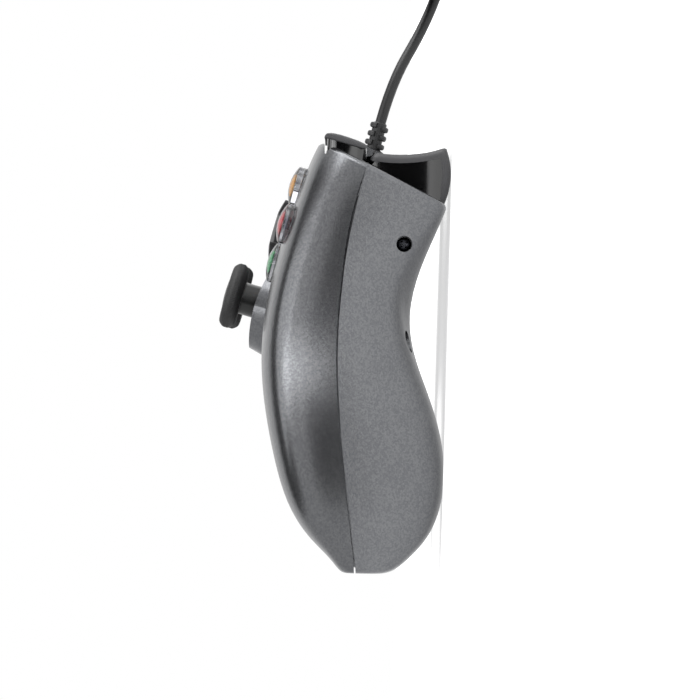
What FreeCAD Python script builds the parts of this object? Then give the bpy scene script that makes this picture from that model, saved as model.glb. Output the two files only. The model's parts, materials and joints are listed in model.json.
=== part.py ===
import FreeCAD, Part
import math
import os

os.makedirs("parts", exist_ok=True)

# The gamepad lies on its back, face up: +X is its right-hand side, +Y the side with the shoulder
# buttons and the cord, +Z out of the face. Sizes are in millimetres, angles in degrees.

# Shells
WALL = 2.4
PARTING_GAP = 0.4
TONGUE_INSET = 1.5
TONGUE_DEPTH = 1.0
TONGUE_FIT = 0.1
RIM_RADIUS = 1.5
TIP_Y = -53.75
TIP_X = 61.8
TIP_Z = 20.8
TIP_HALF_WIDTH = 4.6
TIP_HEIGHT_FRONT = 3.0
TIP_HEIGHT_REAR = 7.0
MIDDLE_HALF_WIDTH = 16.0
SHOULDER_INNER_X = 23.0
SHOULDER_PLANE_Y = 36.04
SHOULDER_PLANE_SLOPE = 0.486
BRIDGE_STAND_OFF = 5.95
BRIDGE_FOLD_Z = 20.6
CHEEK_INNER_X = 66.4
CHEEK_START_Y = 21.0
BOSS_RADIUS = 3.8
BOSS_BORE = 1.2
SCREW_HEAD_BORE = 2.7
SCREW_SEAT = 3.0
SIDE_HOLE_RADIUS = 1.95
SIDE_HOLE_Y = 26.6
SIDE_HOLE_Z = 11.1
SIDE_HOLE_END_X = 68.0

# Face and its pieces; "up" runs along the face towards the cord, "out" along its normal
FACE_TILT = 14.5
FACE_Y = 30.7
FACE_Z = 39.8
BOARD_TOP = -14.5
BOARD_THICK = 1.6

STICK_X = 24.0
STICK_UP = -20.0
PIVOT_OUT = -9.0
STEM_RADIUS = 4.05
CAP_RADIUS = 8.35
DOME_RADIUS = 11.2
DOME_THICK = 1.1
DOME_HALF_ANGLE = 64.0
POD_RADIUS = 10.6
POD_OUT = 2.7
STICK_HOLE = 8.2
STICK_LEAN = 16.0
STICK_CLEARANCE = 0.15
HOUSING_HALF = 6.5
ARCH_CLEARANCE = 0.3
ARCH_WALL = 1.1
AXLE_RADIUS = 1.2
POST_RADIUS = 1.35
SHAFT_RADIUS = 2.0
RUNNING = 0.05

CLUSTER_X = 47.0
CLUSTER_UP = 0.35
BUTTON_OFFSET = 9.8
LENS_RADIUS = 4.95
LENS_TOP = 2.4
LENS_WALL = 0.5
BUTTON_GAP = 0.25
CORE_TOP = -1.2
FLANGE_TOP = -4.0
FLANGE_THICK = 1.0
PAD_TOP = -10.6
MEMBRANE_THICK = 1.0

DPAD_RADIUS = 11.3
DPAD_GAP = 0.85
DPAD_FLANGE_RADIUS = 12.8
DPAD_FLANGE_TOP = -4.5
DPAD_FLANGE_THICK = 0.8
DPAD_ARM = 8.2
DPAD_ARM_WIDTH = 7.4
DPAD_TOP = 5.6
DPAD_PIVOT_X_OUT = -8.3
DPAD_PIVOT_Y_OUT = -6.0
NUB_RADIUS = 0.6

MENU_X = 13.0
MENU_UP = -1.0
MENU_LENGTH = 8.0
MENU_WIDTH = 3.6
HOME_UP = 3.5
HOME_RADIUS = 5.0
HOME_TOP = 1.1
HOME_CROWN_RADIUS = 24.0
LIGHT_UP = -9.0
LIGHT_PITCH = 6.0

# Shoulder pieces
PIN_RADIUS = 1.0
PIN_Y = 43.7
PIN_Z = 17.8
TRIGGER_INNER_X = 27.0
TRIGGER_OUTER_X = 66.0
TRIGGER_REACH = 17.7
TRIGGER_WALL = 1.8
RIB_THICK = 2.6
RIB_LOW = 15.8
RIB_HIGH = 2.2
RIB_BACK_LOW = 9.7
RIB_BACK_HIGH = 6.7
HEEL_THICK = 1.3
HEEL_ROOT = -113.0
HEEL_END = -127.0
BARREL_RADIUS = 2.5
BUMPER_CREST_X = 46.0
BUMPER_CREST_Y = 53.9
BUMPER_SWEEP_RADIUS = 300.0
BUMPER_TRAVEL = 0.9
BUMPER_INNER_X = 24.4
BUMPER_OUTER_X = 66.8
SKIRT_INNER_X = 27.2
SKIRT_OUTER_X = 65.6
SKIRT_LOW = 20.8
SKIRT_HIGH = 30.4
SKIRT_DEPTH = 1.3

# Vibration motors
MOTOR_X = 54.0
MOTOR_Y = -20.5
MOTOR_Z = 21.0
MOTOR_RADIUS = 9.0
MOTOR_LENGTH = 16.0
MOTOR_SHAFT_RADIUS = 1.0
WEIGHT_RADIUS = 7.8
WEIGHT_LENGTH = 5.0

# Cord
CORD_RADIUS = 1.4
GLAND_Y = 50.0
GLAND_Z = 19.55
GLAND_LEAN = 13.9
GLAND_LENGTH = 9.4
COIL_X = 0.0
COIL_Y = 123.0
COIL_TURNS = 3.375
COIL_STEP = 3.75
COIL_MEAN_RADIUS = 16.63
TIE_THICK = 0.6
PLUG_LENGTH = 34.0
PLUG_WIDTH = 15.0
PLUG_HEIGHT = 8.0
CONNECTOR_LENGTH = 19.0
CONNECTOR_WIDTH = 12.0
CONNECTOR_HEIGHT = 4.5

Vec = FreeCAD.Vector
X_AXIS = Vec(1, 0, 0)
Y_AXIS = Vec(0, 1, 0)
Z_AXIS = Vec(0, 0, 1)

# Side profile of the shells at their fullest: Y, face, parting line, back of the grips, back of
# the middle.
PROFILE = [
    (-53.75, 20.8, 20.8, 20.8, 20.8),
    (-52.9, 23.0, 20.9, 12.6, 12.6),
    (-51.0, 25.9, 21.0, 8.9, 8.9),
    (-48.0, 29.8, 21.3, 5.2, 6.0),
    (-44.3, 33.8, 21.9, 2.7, 6.5),
    (-38.5, 37.5, 22.7, 0.5, 8.0),
    (-31.0, 40.2, 23.8, -0.65, 9.5),
    (-23.0, 42.2, 24.9, 0.1, 11.0),
    (-14.0, 44.2, 25.8, 2.2, 12.0),
    (-4.0, 45.6, 26.5, 6.5, 12.4),
    (5.0, 45.7, 26.6, 10.9, 12.4),
    (13.0, 44.8, 26.2, 13.2, 12.2),
    (19.0, 43.5, 25.7, 12.9, 12.0),
    (25.0, 41.8, 25.1, 6.6, 11.6),
    (31.0, 40.1, 24.2, 0.6, 11.0),
    (37.0, 38.5, 22.9, -2.2, 10.2),
    (43.0, 37.3, 21.2, -3.0, 9.4),
    (49.0, 36.2, 19.2, -3.2, 8.4),
    (62.0, 33.5, 16.5, -3.2, 6.0),
    (72.0, 31.0, 14.5, -3.2, 4.0),
]
FACE_COLUMN = 1
PARTING_COLUMN = 2
GRIP_COLUMN = 3
MIDDLE_COLUMN = 4

# Plan of the right half as pairs of points: the inner edge, and the outer edge opposite it.
STATIONS = [
    ((0.0, -8.5), (0.0, 51.6)),
    ((9.0, -8.7), (13.0, 51.8)),
    ((17.0, -9.6), (26.0, 52.6)),
    ((24.0, -11.4), (40.0, 60.0)),
    ((29.5, -14.0), (56.0, 64.0)),
    ((33.5, -17.2), (69.5, 57.0)),
    ((36.6, -21.2), (74.0, 40.0)),
    ((39.2, -25.6), (75.6, 24.0)),
    ((41.4, -30.0), (77.2, 9.5)),
    ((43.4, -34.2), (77.9, -5.0)),
    ((45.6, -38.5), (77.2, -18.5)),
    ((48.2, -43.2), (75.2, -31.5)),
    ((51.2, -48.0), (72.6, -42.5)),
    ((54.6, -51.8), (69.0, -50.0)),
]

# Half sections: share of the width, share of the height, from the parting line to the crown.
FRONT_SECTION = [(0, 0), (0.015, 0.30), (0.05, 0.57), (0.125, 0.81), (0.27, 0.935), (0.5, 1.025)]
REAR_SECTION = [(0, 0), (0.008, 0.32), (0.04, 0.70), (0.14, 0.93), (0.30, 1.0), (0.5, 1.01)]
SHOULDER_SECTION = [(0, 0), (0.004, 0.32), (0.012, 0.72), (0.06, 0.96), (0.20, 1.0), (0.5, 1.01)]
CAVITY_FRONT = [(0, 0), (0.03, 0.42), (0.14, 0.80), (0.30, 0.93), (0.5, 1.0)]
CAVITY_REAR = [(0, 0), (0.02, 0.50), (0.12, 0.88), (0.30, 1.0), (0.5, 1.0)]
SHOULDER_FROM_Y = 16.0
SHOULDER_FULL_Y = 30.0


def reach(y):
    """Distance from the grip tips, drawn out so that the round tips get an even spacing."""
    return math.sqrt(max(0.0, y - TIP_Y))


def profile_height(column, y):
    """Height of a profile line at y, by a smooth cubic through the listed points."""
    spots = [reach(row[0]) for row in PROFILE]
    heights = [row[column] for row in PROFILE]
    last = len(spots) - 1
    at = reach(y)
    start = last - 1
    for index in range(1, last + 1):
        if spots[index] >= at:
            start = index - 1
            break

    def slope(index):
        low = max(index - 1, 0)
        high = min(index + 1, last)
        return (heights[high] - heights[low]) / (spots[high] - spots[low])

    step = spots[start + 1] - spots[start]
    t = (at - spots[start]) / step
    rise_in = slope(start) * step
    rise_out = slope(start + 1) * step
    value = (2 * t**3 - 3 * t**2 + 1) * heights[start]
    value += (t**3 - 2 * t**2 + t) * rise_in
    value += (3 * t**2 - 2 * t**3) * heights[start + 1]
    value += (t**3 - t**2) * rise_out
    return value


def back_height(x, y):
    """Height of the back: shallow in the middle, deep behind the grips and shoulders."""
    t = (abs(x) - MIDDLE_HALF_WIDTH) / MIDDLE_HALF_WIDTH
    t = min(max(t, 0.0), 1.0)
    share = t * t * (3 - 2 * t)
    middle = profile_height(MIDDLE_COLUMN, y)
    return middle + (profile_height(GRIP_COLUMN, y) - middle) * share


def inset_pair(index, inset):
    """A station's two edge points, moved into the body square to the outline."""
    before = STATIONS[max(0, index - 1)]
    after = STATIONS[min(len(STATIONS) - 1, index + 1)]
    pair = STATIONS[index]
    moved = []
    for side in (0, 1):
        run_x = after[side][0] - before[side][0]
        run_y = after[side][1] - before[side][1]
        if index == 0:
            run_x, run_y = 1.0, 0.0
        length = math.hypot(run_x, run_y)
        across_x = pair[1 - side][0] - pair[side][0]
        across_y = pair[1 - side][1] - pair[side][1]
        width = math.hypot(across_x, across_y)
        square = abs(run_x * across_y - run_y * across_x) / (length * width)
        share = inset / max(0.6, square) / width
        moved.append((pair[side][0] + across_x * share, pair[side][1] + across_y * share))
    return moved


def squared_outer(section, outer_y):
    """A rear section's outer half, with a steeper wall towards the shoulder."""
    t = (outer_y - SHOULDER_FROM_Y) / (SHOULDER_FULL_Y - SHOULDER_FROM_Y)
    t = min(max(t, 0.0), 1.0)
    mixed = []
    for (share, height), (square_share, square_height) in zip(section, SHOULDER_SECTION):
        mixed.append((share + (square_share - share) * t, height + (square_height - height) * t))
    return mixed


def section_row(index, section, front, inset):
    """Points of one half section of the body, from its inner edge over to its outer edge."""
    (inner_x, inner_y), (outer_x, outer_y) = inset_pair(index, inset)
    outer_half = section
    if not front and len(section) == len(SHOULDER_SECTION):
        outer_half = squared_outer(section, outer_y)
    whole = section + [(1 - share, height) for share, height in reversed(outer_half[:-1])]
    row = []
    for share, height in whole:
        x = inner_x + (outer_x - inner_x) * share
        y = inner_y + (outer_y - inner_y) * share
        parting = profile_height(PARTING_COLUMN, y)
        if front:
            z = parting + (profile_height(FACE_COLUMN, y) - inset - parting) * height
        else:
            z = parting - (parting - back_height(x, y) - inset) * height
        row.append(Vec(x, y, z))
    return row


def mirrored_row(row):
    return [Vec(-point.x, point.y, point.z) for point in row]


def both_halves(rows):
    return [mirrored_row(row) for row in reversed(rows[1:])] + rows


def tip_row(section, front, scale):
    """A small flat half ring at the very tip of a grip."""
    whole = section + [(1 - share, height) for share, height in reversed(section[:-1])]
    reach_z = TIP_HEIGHT_FRONT if front else -TIP_HEIGHT_REAR
    row = []
    for share, height in whole:
        x = TIP_X + (share - 0.5) * 2 * TIP_HALF_WIDTH * scale
        row.append(Vec(x, TIP_Y, TIP_Z + reach_z * height * scale))
    return row


def smooth_face(rows):
    """A cubic surface drawn by a net of control points."""
    count_u = len(rows)
    count_v = len(rows[0])
    knots_u = [float(knot) for knot in range(count_u - 2)]
    knots_v = [float(knot) for knot in range(count_v - 2)]
    ends_u = [4] + [1] * (count_u - 4) + [4]
    ends_v = [4] + [1] * (count_v - 4) + [4]
    surface = Part.BSplineSurface()
    surface.buildFromPolesMultsKnots(
        rows, ends_u, ends_v, knots_u, knots_v, False, False, 3, 3
    )
    return surface.toShape()


def solid_of(faces):
    shell = Part.Shell(faces)
    shell.sewShape()
    solid = Part.Solid(shell)
    if solid.Volume < 0:
        solid.reverse()
    return solid


def outer_form():
    """The whole outside of both shells as one solid."""
    faces = []
    for front, section in ((True, FRONT_SECTION), (False, REAR_SECTION)):
        rows = [section_row(index, section, front, 0.0) for index in range(len(STATIONS))]
        rows.append(tip_row(section, front, 1.25))
        rows.append(tip_row(section, front, 0.8))
        faces.append(smooth_face(both_halves(rows)))
    edges = [edge for face in faces for edge in face.Edges]
    for side in (-1, 1):
        rim = []
        for edge in edges:
            middle = edge.valueAt((edge.FirstParameter + edge.LastParameter) / 2)
            if abs(middle.y - TIP_Y) < 0.001 and middle.x * side > 0:
                rim.append(edge)
        faces.append(Part.Face(Part.Wire(Part.__sortEdges__(rim))))
    form = solid_of(faces).cut(shoulder_cut())
    form = form.makeFillet(RIM_RADIUS, shoulder_rim(form))
    return form.cut(bridge_cut(0.0))


def shoulder_rim(form):
    """The edges where the slanted shoulder plane meets the outside."""
    rim = []
    for edge in form.Edges:
        span = edge.LastParameter - edge.FirstParameter
        spots = [edge.valueAt(edge.FirstParameter + span * share) for share in (0, 0.25, 0.5, 0.75, 1)]
        on_plane = all(abs(spot.y - shoulder_y(spot.z)) < 0.01 for spot in spots)
        if on_plane and all(abs(spot.x) > SHOULDER_INNER_X + 0.2 for spot in spots[1:4]):
            rim.append(edge)
    return rim


def bridge_cut(inset):
    """The space under the middle bridge's brow, which slants like the shoulder plane."""
    points = []
    for z in (-20, BRIDGE_FOLD_Z - inset):
        points.append((shoulder_y(z) + BRIDGE_STAND_OFF - inset, z))
    points += [(110, BRIDGE_FOLD_Z - inset), (110, -20)]
    return side_prism(points, -SHOULDER_INNER_X - inset, SHOULDER_INNER_X + inset)


def faceted_form(inset):
    """A form in flat facets, at least an inset inside the outer form."""
    loops = []
    for index in range(len(STATIONS)):
        front = section_row(index, CAVITY_FRONT, True, inset)
        rear = section_row(index, CAVITY_REAR, False, inset)
        loops.append(front + rear[-2:0:-1])
    loops = both_halves(loops)
    faces = []
    count = len(loops[0])
    for here, there in zip(loops, loops[1:]):
        for index in range(count):
            after = (index + 1) % count
            a, b, c, d = here[index], here[after], there[after], there[index]
            faces.append(Part.Face(Part.makePolygon([a, b, c, a])))
            faces.append(Part.Face(Part.makePolygon([a, c, d, a])))
    for loop in (loops[0], loops[-1]):
        faces.append(Part.Face(Part.makePolygon(loop + [loop[0]])))
    return solid_of(faces).cut(bridge_cut(inset))


def cavity_form():
    """The hollow inside both shells, closed off behind the cheeks outside the triggers."""
    hollow = faceted_form(WALL)
    for side in (-1, 1):
        cheek = Part.makeBox(40, 60, 80, Vec(CHEEK_INNER_X, CHEEK_START_Y, -10))
        if side < 0:
            cheek = mirror(cheek)
        hollow = hollow.cut(cheek)
    return hollow


def mirror(shape):
    return shape.mirror(Vec(0, 0, 0), X_AXIS)


def face_point(x, up, out):
    tilt = math.radians(FACE_TILT)
    y = FACE_Y + up * math.cos(tilt) + out * math.sin(tilt)
    z = FACE_Z - up * math.sin(tilt) + out * math.cos(tilt)
    return Vec(x, y, z)


def on_face(shape, x, up, out=0.0):
    """A piece drawn about its own Z axis, set square on the face."""
    place = FreeCAD.Placement(face_point(x, up, out), FreeCAD.Rotation(X_AXIS, -FACE_TILT))
    moved = shape.copy()
    moved.Placement = place.multiply(moved.Placement)
    return moved


def cylinder(radius, low, high, x=0.0, y=0.0):
    return Part.makeCylinder(radius, high - low, Vec(x, y, low), Z_AXIS)


def bar_x(radius, start, end, y, z):
    return Part.makeCylinder(radius, end - start, Vec(start, y, z), X_AXIS)


def block(x_low, x_high, y_low, y_high, z_low, z_high):
    return Part.makeBox(x_high - x_low, y_high - y_low, z_high - z_low, Vec(x_low, y_low, z_low))


def turned(points):
    """A solid of revolution about Z from a closed outline of (radius, height)."""
    outline = [Vec(radius, 0, height) for radius, height in points]
    return Part.Face(Part.makePolygon(outline + [outline[0]])).revolve(Vec(0, 0, 0), Z_AXIS, 360)


def oblong(length, width, low, high):
    """A bar along X with round ends."""
    half = (length - width) / 2
    body = block(-half, half, -width / 2, width / 2, low, high)
    ends = [cylinder(width / 2, low, high, x) for x in (-half, half)]
    return body.multiFuse(ends).removeSplitter()


def parting_block(offset, above):
    """Everything above or below the parting line, moved by an offset."""
    spots = [TIP_Y - 3 + 6.2 * index for index in range(20)]
    line = Part.BSplineCurve()
    line.interpolate([Vec(-95, y, profile_height(PARTING_COLUMN, max(y, TIP_Y)) + offset) for y in spots])
    edge = line.toShape()
    start = edge.Vertexes[0].Point
    end = edge.Vertexes[-1].Point
    limit = 90.0 if above else -40.0
    corners = [end, Vec(-95, end.y, limit), Vec(-95, start.y, limit), start]
    wire = Part.Wire([edge] + Part.makePolygon(corners).Edges)
    body = Part.Face(wire).extrude(Vec(190, 0, 0))
    if body.Volume < 0:
        body.reverse()
    return body


def shoulder_y(z):
    return SHOULDER_PLANE_Y + SHOULDER_PLANE_SLOPE * z


def side_prism(points, x_low, x_high):
    """An outline of (Y, Z) points drawn out along X."""
    outline = [Vec(x_low, y, z) for y, z in points]
    face = Part.Face(Part.makePolygon(outline + [outline[0]]))
    return face.extrude(Vec(x_high - x_low, 0, 0))


def shoulder_cut():
    """The space beyond the slanted shoulder plane, either side of the middle bridge."""
    points = [(shoulder_y(-20), -20), (shoulder_y(70), 70), (110, 70), (110, -20)]
    right = side_prism(points, SHOULDER_INNER_X, 95)
    return right.fuse(mirror(right))


def bumper_pocket():
    """Room in the wall behind the shoulder plane for a bumper's skirt and its travel."""
    depth = (SKIRT_DEPTH + BUMPER_TRAVEL + 0.3) * math.hypot(1, SHOULDER_PLANE_SLOPE)
    low = SKIRT_LOW - 0.4
    high = SKIRT_HIGH + 0.8
    points = [(shoulder_y(low) - depth, low), (shoulder_y(high) - depth, high), (70, high), (70, low)]
    right = side_prism(points, SKIRT_INNER_X - 0.3, SKIRT_OUTER_X + 0.3)
    return right.fuse(mirror(right))


def gland_axis():
    lean = math.radians(GLAND_LEAN)
    return Vec(0, math.cos(lean), -math.sin(lean))


def along_gland(distance):
    return Vec(0, GLAND_Y, GLAND_Z) + gland_axis() * distance


def gland_cylinder(radius, start, end):
    return Part.makeCylinder(radius, end - start, along_gland(start), gland_axis())


BOSSES = [(59.0, -41.0), (67.0, 3.0), (0.0, 2.0)]


def boss_places():
    places = []
    for x, y in BOSSES:
        places.append((x, y))
        if x > 0:
            places.append((-x, y))
    return places


def stick_foot(side):
    return side * STICK_X, STICK_UP


def stick_pod():
    """Raised collar round a stick, its top rounded lengthwise."""
    cone = Part.makeCone(POD_RADIUS + 1.0, POD_RADIUS - 0.5, 6.0, Vec(0, -1.0, -3.0), Z_AXIS)
    crown = Part.makeCylinder(35.0, 40.0, Vec(-20, -1.5, POD_OUT - 35.0), X_AXIS)
    return cone.common(crown)


def stick_mouth():
    """Flare of a stick's hole that clears its stem when it leans along both axes at once."""
    lean = math.acos(math.cos(math.radians(STICK_LEAN)) ** 2)
    spread = STEM_RADIUS / math.cos(lean) + STICK_CLEARANCE
    low = -PIVOT_OUT - 2.0
    high = -PIVOT_OUT + POD_OUT + 2.0
    rise = high - low
    return Part.makeCone(spread + low * math.tan(lean), spread + high * math.tan(lean), rise, Vec(0, 0, low), Z_AXIS)


def front_holes():
    holes = []
    for side in (-1, 1):
        x, up = stick_foot(side)
        holes.append(on_face(cylinder(STICK_HOLE, -8, 8), x, up))
        holes.append(on_face(Part.makeSphere(DOME_RADIUS + 0.35), x, up, PIVOT_OUT))
        holes.append(on_face(stick_mouth(), x, up, PIVOT_OUT))
        holes.append(on_face(oblong(MENU_LENGTH + 0.5, MENU_WIDTH + 0.5, -8, 8), side * MENU_X, MENU_UP))
    for x, up in button_places():
        holes.append(on_face(cylinder(LENS_RADIUS + BUTTON_GAP, -8, 8), x, up))
    holes.append(on_face(cylinder(DPAD_RADIUS + DPAD_GAP, -8, 8), -CLUSTER_X, CLUSTER_UP))
    holes.append(on_face(cylinder(HOME_RADIUS + BUTTON_GAP, -8, 8), 0, HOME_UP))
    for index in range(4):
        holes.append(on_face(oblong(3.0, 1.7, -8, 8), (index - 1.5) * LIGHT_PITCH, LIGHT_UP))
    return holes


def button_places():
    """Top, right, bottom and left button of the cluster."""
    return [
        (CLUSTER_X, CLUSTER_UP + BUTTON_OFFSET),
        (CLUSTER_X + BUTTON_OFFSET, CLUSTER_UP),
        (CLUSTER_X, CLUSTER_UP - BUTTON_OFFSET),
        (CLUSTER_X - BUTTON_OFFSET, CLUSTER_UP),
    ]


BOARD_POSTS = [(28.5, 8.0), (-28.5, 8.0), (0.0, -15.5)]


TIP_PEGS = [(61.6, -49.5), (-61.6, -49.5)]


def tongue(cavity):
    """Lip inside the parting line that stands down from the front shell, with a peg in each tip."""
    ring = faceted_form(TONGUE_INSET).cut(cavity)
    pegs = [cylinder(3.0, 10, 30, x, y) for x, y in TIP_PEGS]
    band = parting_block(-TONGUE_DEPTH, True).common(parting_block(PARTING_GAP, False))
    return ring.multiFuse(pegs).common(band)


def tongue_rebate():
    """Room for the tongue in the rear shell's edge."""
    room = faceted_form(TONGUE_INSET - TONGUE_FIT)
    pegs = [cylinder(3.0 + TONGUE_FIT, 10, 30, x, y) for x, y in TIP_PEGS]
    return room.multiFuse(pegs).common(parting_block(-TONGUE_DEPTH - TONGUE_FIT, True))


def front_shell(outer, cavity):
    wall = outer.common(parting_block(PARTING_GAP / 2, True))
    pods = [on_face(stick_pod(), *stick_foot(side)) for side in (-1, 1)]
    body = wall.multiFuse(pods + [tongue(cavity)]).cut(cavity)
    inside = []
    for x, y in boss_places():
        seat = profile_height(PARTING_COLUMN, y)
        boss = cylinder(BOSS_RADIUS - 0.4, seat, 60, x, y)
        inside.append(boss.cut(cylinder(BOSS_BORE, seat - 1, seat + 9, x, y)))
    for x, up in BOARD_POSTS:
        inside.append(on_face(cylinder(2.2, BOARD_TOP, 3), x, up))
    clipped = [piece.common(outer) for piece in inside]
    body = body.multiFuse(clipped)
    body = body.cut(shoulder_cut()).cut(bumper_pocket())
    body = body.cut(Part.makeCompound(front_holes()))
    return body.cut(gland_cylinder(3.05, -8, 8))


def pin_rib():
    """Rib beside the trigger's inner end that carries its pin."""
    low = PIN_Z - RIB_LOW
    high = PIN_Z + RIB_HIGH
    points = [(PIN_Y - RIB_BACK_LOW, low), (shoulder_y(low), low)]
    points += [(shoulder_y(high), high), (PIN_Y - RIB_BACK_HIGH, high)]
    start = SHOULDER_INNER_X + 0.8
    return side_prism(points, start, start + RIB_THICK)


def rear_shell(outer, cavity):
    wall = outer.common(parting_block(-PARTING_GAP / 2, False))
    body = wall.cut(cavity).cut(tongue_rebate())
    inside = []
    bores = []
    for x, y in boss_places():
        seat = profile_height(PARTING_COLUMN, y)
        inside.append(cylinder(BOSS_RADIUS, -1, seat, x, y))
        bores.append(cylinder(SCREW_HEAD_BORE, -2, seat - SCREW_SEAT - 4, x, y))
        bores.append(cylinder(BOSS_BORE + 0.4, -2, seat + 1, x, y))
    for side in (-1, 1):
        rib = pin_rib()
        inside.append(rib if side > 0 else mirror(rib))
        for x in (MOTOR_X - 6, MOTOR_X + 4):
            cradle = block(x, x + 2.4, MOTOR_Y - 8, MOTOR_Y + 8, -1, MOTOR_Z - 3)
            cradle = cradle.cut(bar_x(MOTOR_RADIUS, x - 1, x + 4, MOTOR_Y, MOTOR_Z))
            inside.append(cradle if side > 0 else mirror(cradle))
    clipped = [piece.common(outer) for piece in inside]
    body = body.multiFuse(clipped)
    body = body.cut(shoulder_cut())
    for side in (-1, 1):
        sweep = bar_x(TRIGGER_REACH + 0.35, TRIGGER_INNER_X - 0.4, TRIGGER_OUTER_X + 0.35, PIN_Y, PIN_Z)
        keep = side_prism([(PIN_Y - 30, PIN_Z - 3), (PIN_Y + 30, PIN_Z - 3), (PIN_Y + 30, 60), (PIN_Y - 30, 60)], 20, 80)
        sweep = sweep.cut(keep)
        pin_bore = bar_x(PIN_RADIUS + 0.02, 23, CHEEK_INNER_X + 2.3, PIN_Y, PIN_Z)
        side_hole = bar_x(SIDE_HOLE_RADIUS, SIDE_HOLE_END_X, 90, SIDE_HOLE_Y, SIDE_HOLE_Z)
        for tool in (sweep, pin_bore, side_hole):
            bores.append(tool if side > 0 else mirror(tool))
    for bore in bores:
        body = body.cut(bore)
    body = body.cut(gland_cylinder(3.05, -8, 8))
    return body.cut(block(-100, 100, -80, 90, -20, 0))


def main_board():
    half = [(0, 11), (63, 11), (63, -14), (52, -20), (36, -20), (36, -31), (0, -31)]
    points = [Vec(x, up, BOARD_TOP - BOARD_THICK) for x, up in half]
    points += [Vec(-x, up, BOARD_TOP - BOARD_THICK) for x, up in reversed(half[1:-1])]
    plate = Part.Face(Part.makePolygon(points + [points[0]])).extrude(Vec(0, 0, BOARD_THICK))
    plate = on_face(plate, 0, 0)
    for x, y in boss_places():
        plate = plate.cut(cylinder(BOSS_RADIUS + 0.6, -5, 60, x, y))
    return plate


def membrane(base, places, bottom_radius, top_radius):
    """Rubber sheet on the board with a hollow-looking dome under each button."""
    domes = []
    low = BOARD_TOP + MEMBRANE_THICK
    for x, up in places:
        domes.append(Part.makeCone(bottom_radius, top_radius, PAD_TOP - low, Vec(x, up, low), Z_AXIS))
    return on_face(base.multiFuse(domes), 0, 0)


def face_button_membrane():
    base = cylinder(15.5, BOARD_TOP, BOARD_TOP + MEMBRANE_THICK, CLUSTER_X, CLUSTER_UP)
    return membrane(base, button_places(), 4.4, 3.0)


DPAD_LEG = 9.0


def dpad_legs():
    legs = []
    for index in range(4):
        angle = math.radians(45 + 90 * index)
        legs.append((DPAD_LEG * math.cos(angle), DPAD_LEG * math.sin(angle)))
    return legs


def dpad_membrane():
    base = cylinder(13.5, BOARD_TOP, BOARD_TOP + MEMBRANE_THICK, -CLUSTER_X, CLUSTER_UP)
    base = base.cut(cylinder(5.6, BOARD_TOP - 1, BOARD_TOP + 3, -CLUSTER_X, CLUSTER_UP))
    places = [(x - CLUSTER_X, y + CLUSTER_UP) for x, y in dpad_legs()]
    return membrane(base, places, 2.6, 1.9)


def menu_membrane():
    base = block(-20, 20, MENU_UP - 4, HOME_UP + 4, BOARD_TOP, BOARD_TOP + MEMBRANE_THICK)
    places = [(-MENU_X, MENU_UP), (MENU_X, MENU_UP), (0, HOME_UP)]
    return membrane(base, places, 2.8, 1.7)


def crown_arc(edge_radius, edge_height, top):
    """The outline of a spherical crown, from the axis to its edge."""
    rise = top - edge_height
    radius = (edge_radius**2 + rise**2) / (2 * rise)
    half = edge_radius / 2
    middle = Vec(half, 0, top - radius + math.sqrt(radius**2 - half**2))
    return Part.Arc(Vec(0, 0, top), middle, Vec(edge_radius, 0, edge_height)).toShape()


def lens():
    """Clear cup with a domed top, open below over its core."""
    rim = LENS_RADIUS - 0.3
    crown = crown_arc(rim, 1.25, LENS_TOP)
    edge = Part.Arc(Vec(rim, 0, 1.25), Vec(LENS_RADIUS - 0.06, 0, 1.1), Vec(LENS_RADIUS, 0, 0.85)).toShape()
    inner = LENS_RADIUS - LENS_WALL
    corners = [
        Vec(LENS_RADIUS, 0, 0.85),
        Vec(LENS_RADIUS, 0, FLANGE_TOP),
        Vec(inner, 0, FLANGE_TOP),
        Vec(inner, 0, CORE_TOP + 0.02),
        Vec(0, 0, CORE_TOP + 0.02),
        Vec(0, 0, LENS_TOP),
    ]
    wire = Part.Wire([crown, edge] + Part.makePolygon(corners).Edges)
    return Part.Face(wire).revolve(Vec(0, 0, 0), Z_AXIS, 360)


def core():
    radius = LENS_RADIUS - LENS_WALL - RUNNING
    low = FLANGE_TOP - FLANGE_THICK
    points = [(0, CORE_TOP), (radius, CORE_TOP), (radius, FLANGE_TOP), (6.3, FLANGE_TOP), (6.3, low)]
    points += [(3.0, low), (3.0, PAD_TOP), (0, PAD_TOP)]
    return turned(points)


def menu_button():
    top = 0.9
    body = oblong(MENU_LENGTH, MENU_WIDTH, FLANGE_TOP, top)
    rim = [edge for edge in body.Edges if edge.BoundBox.ZMin > top - 0.01]
    body = body.makeFillet(0.5, rim)
    flange = oblong(MENU_LENGTH + 2.4, MENU_WIDTH + 2.4, FLANGE_TOP - FLANGE_THICK, FLANGE_TOP)
    stem = cylinder(1.6, PAD_TOP, FLANGE_TOP)
    return body.multiFuse([flange, stem]).removeSplitter()


def home_button():
    crown = Part.makeSphere(HOME_CROWN_RADIUS, Vec(0, 0, HOME_TOP - HOME_CROWN_RADIUS))
    body = cylinder(HOME_RADIUS, FLANGE_TOP, 4).common(crown.fuse(cylinder(9, -20, -1)))
    flange = cylinder(HOME_RADIUS + 1.0, FLANGE_TOP - FLANGE_THICK, FLANGE_TOP)
    stem = cylinder(1.6, PAD_TOP, FLANGE_TOP)
    return body.multiFuse([flange, stem]).removeSplitter()


def light_pipes():
    base = block(-2.5 * LIGHT_PITCH + 4, 2.5 * LIGHT_PITCH - 4, -1.6, 1.6, BOARD_TOP, BOARD_TOP + 3)
    pipes = [oblong(2.6, 1.3, BOARD_TOP, 0.1) for _ in range(4)]
    for index, pipe in enumerate(pipes):
        pipe.translate(Vec((index - 1.5) * LIGHT_PITCH, 0, 0))
    return on_face(base.multiFuse(pipes).removeSplitter(), 0, LIGHT_UP)


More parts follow.
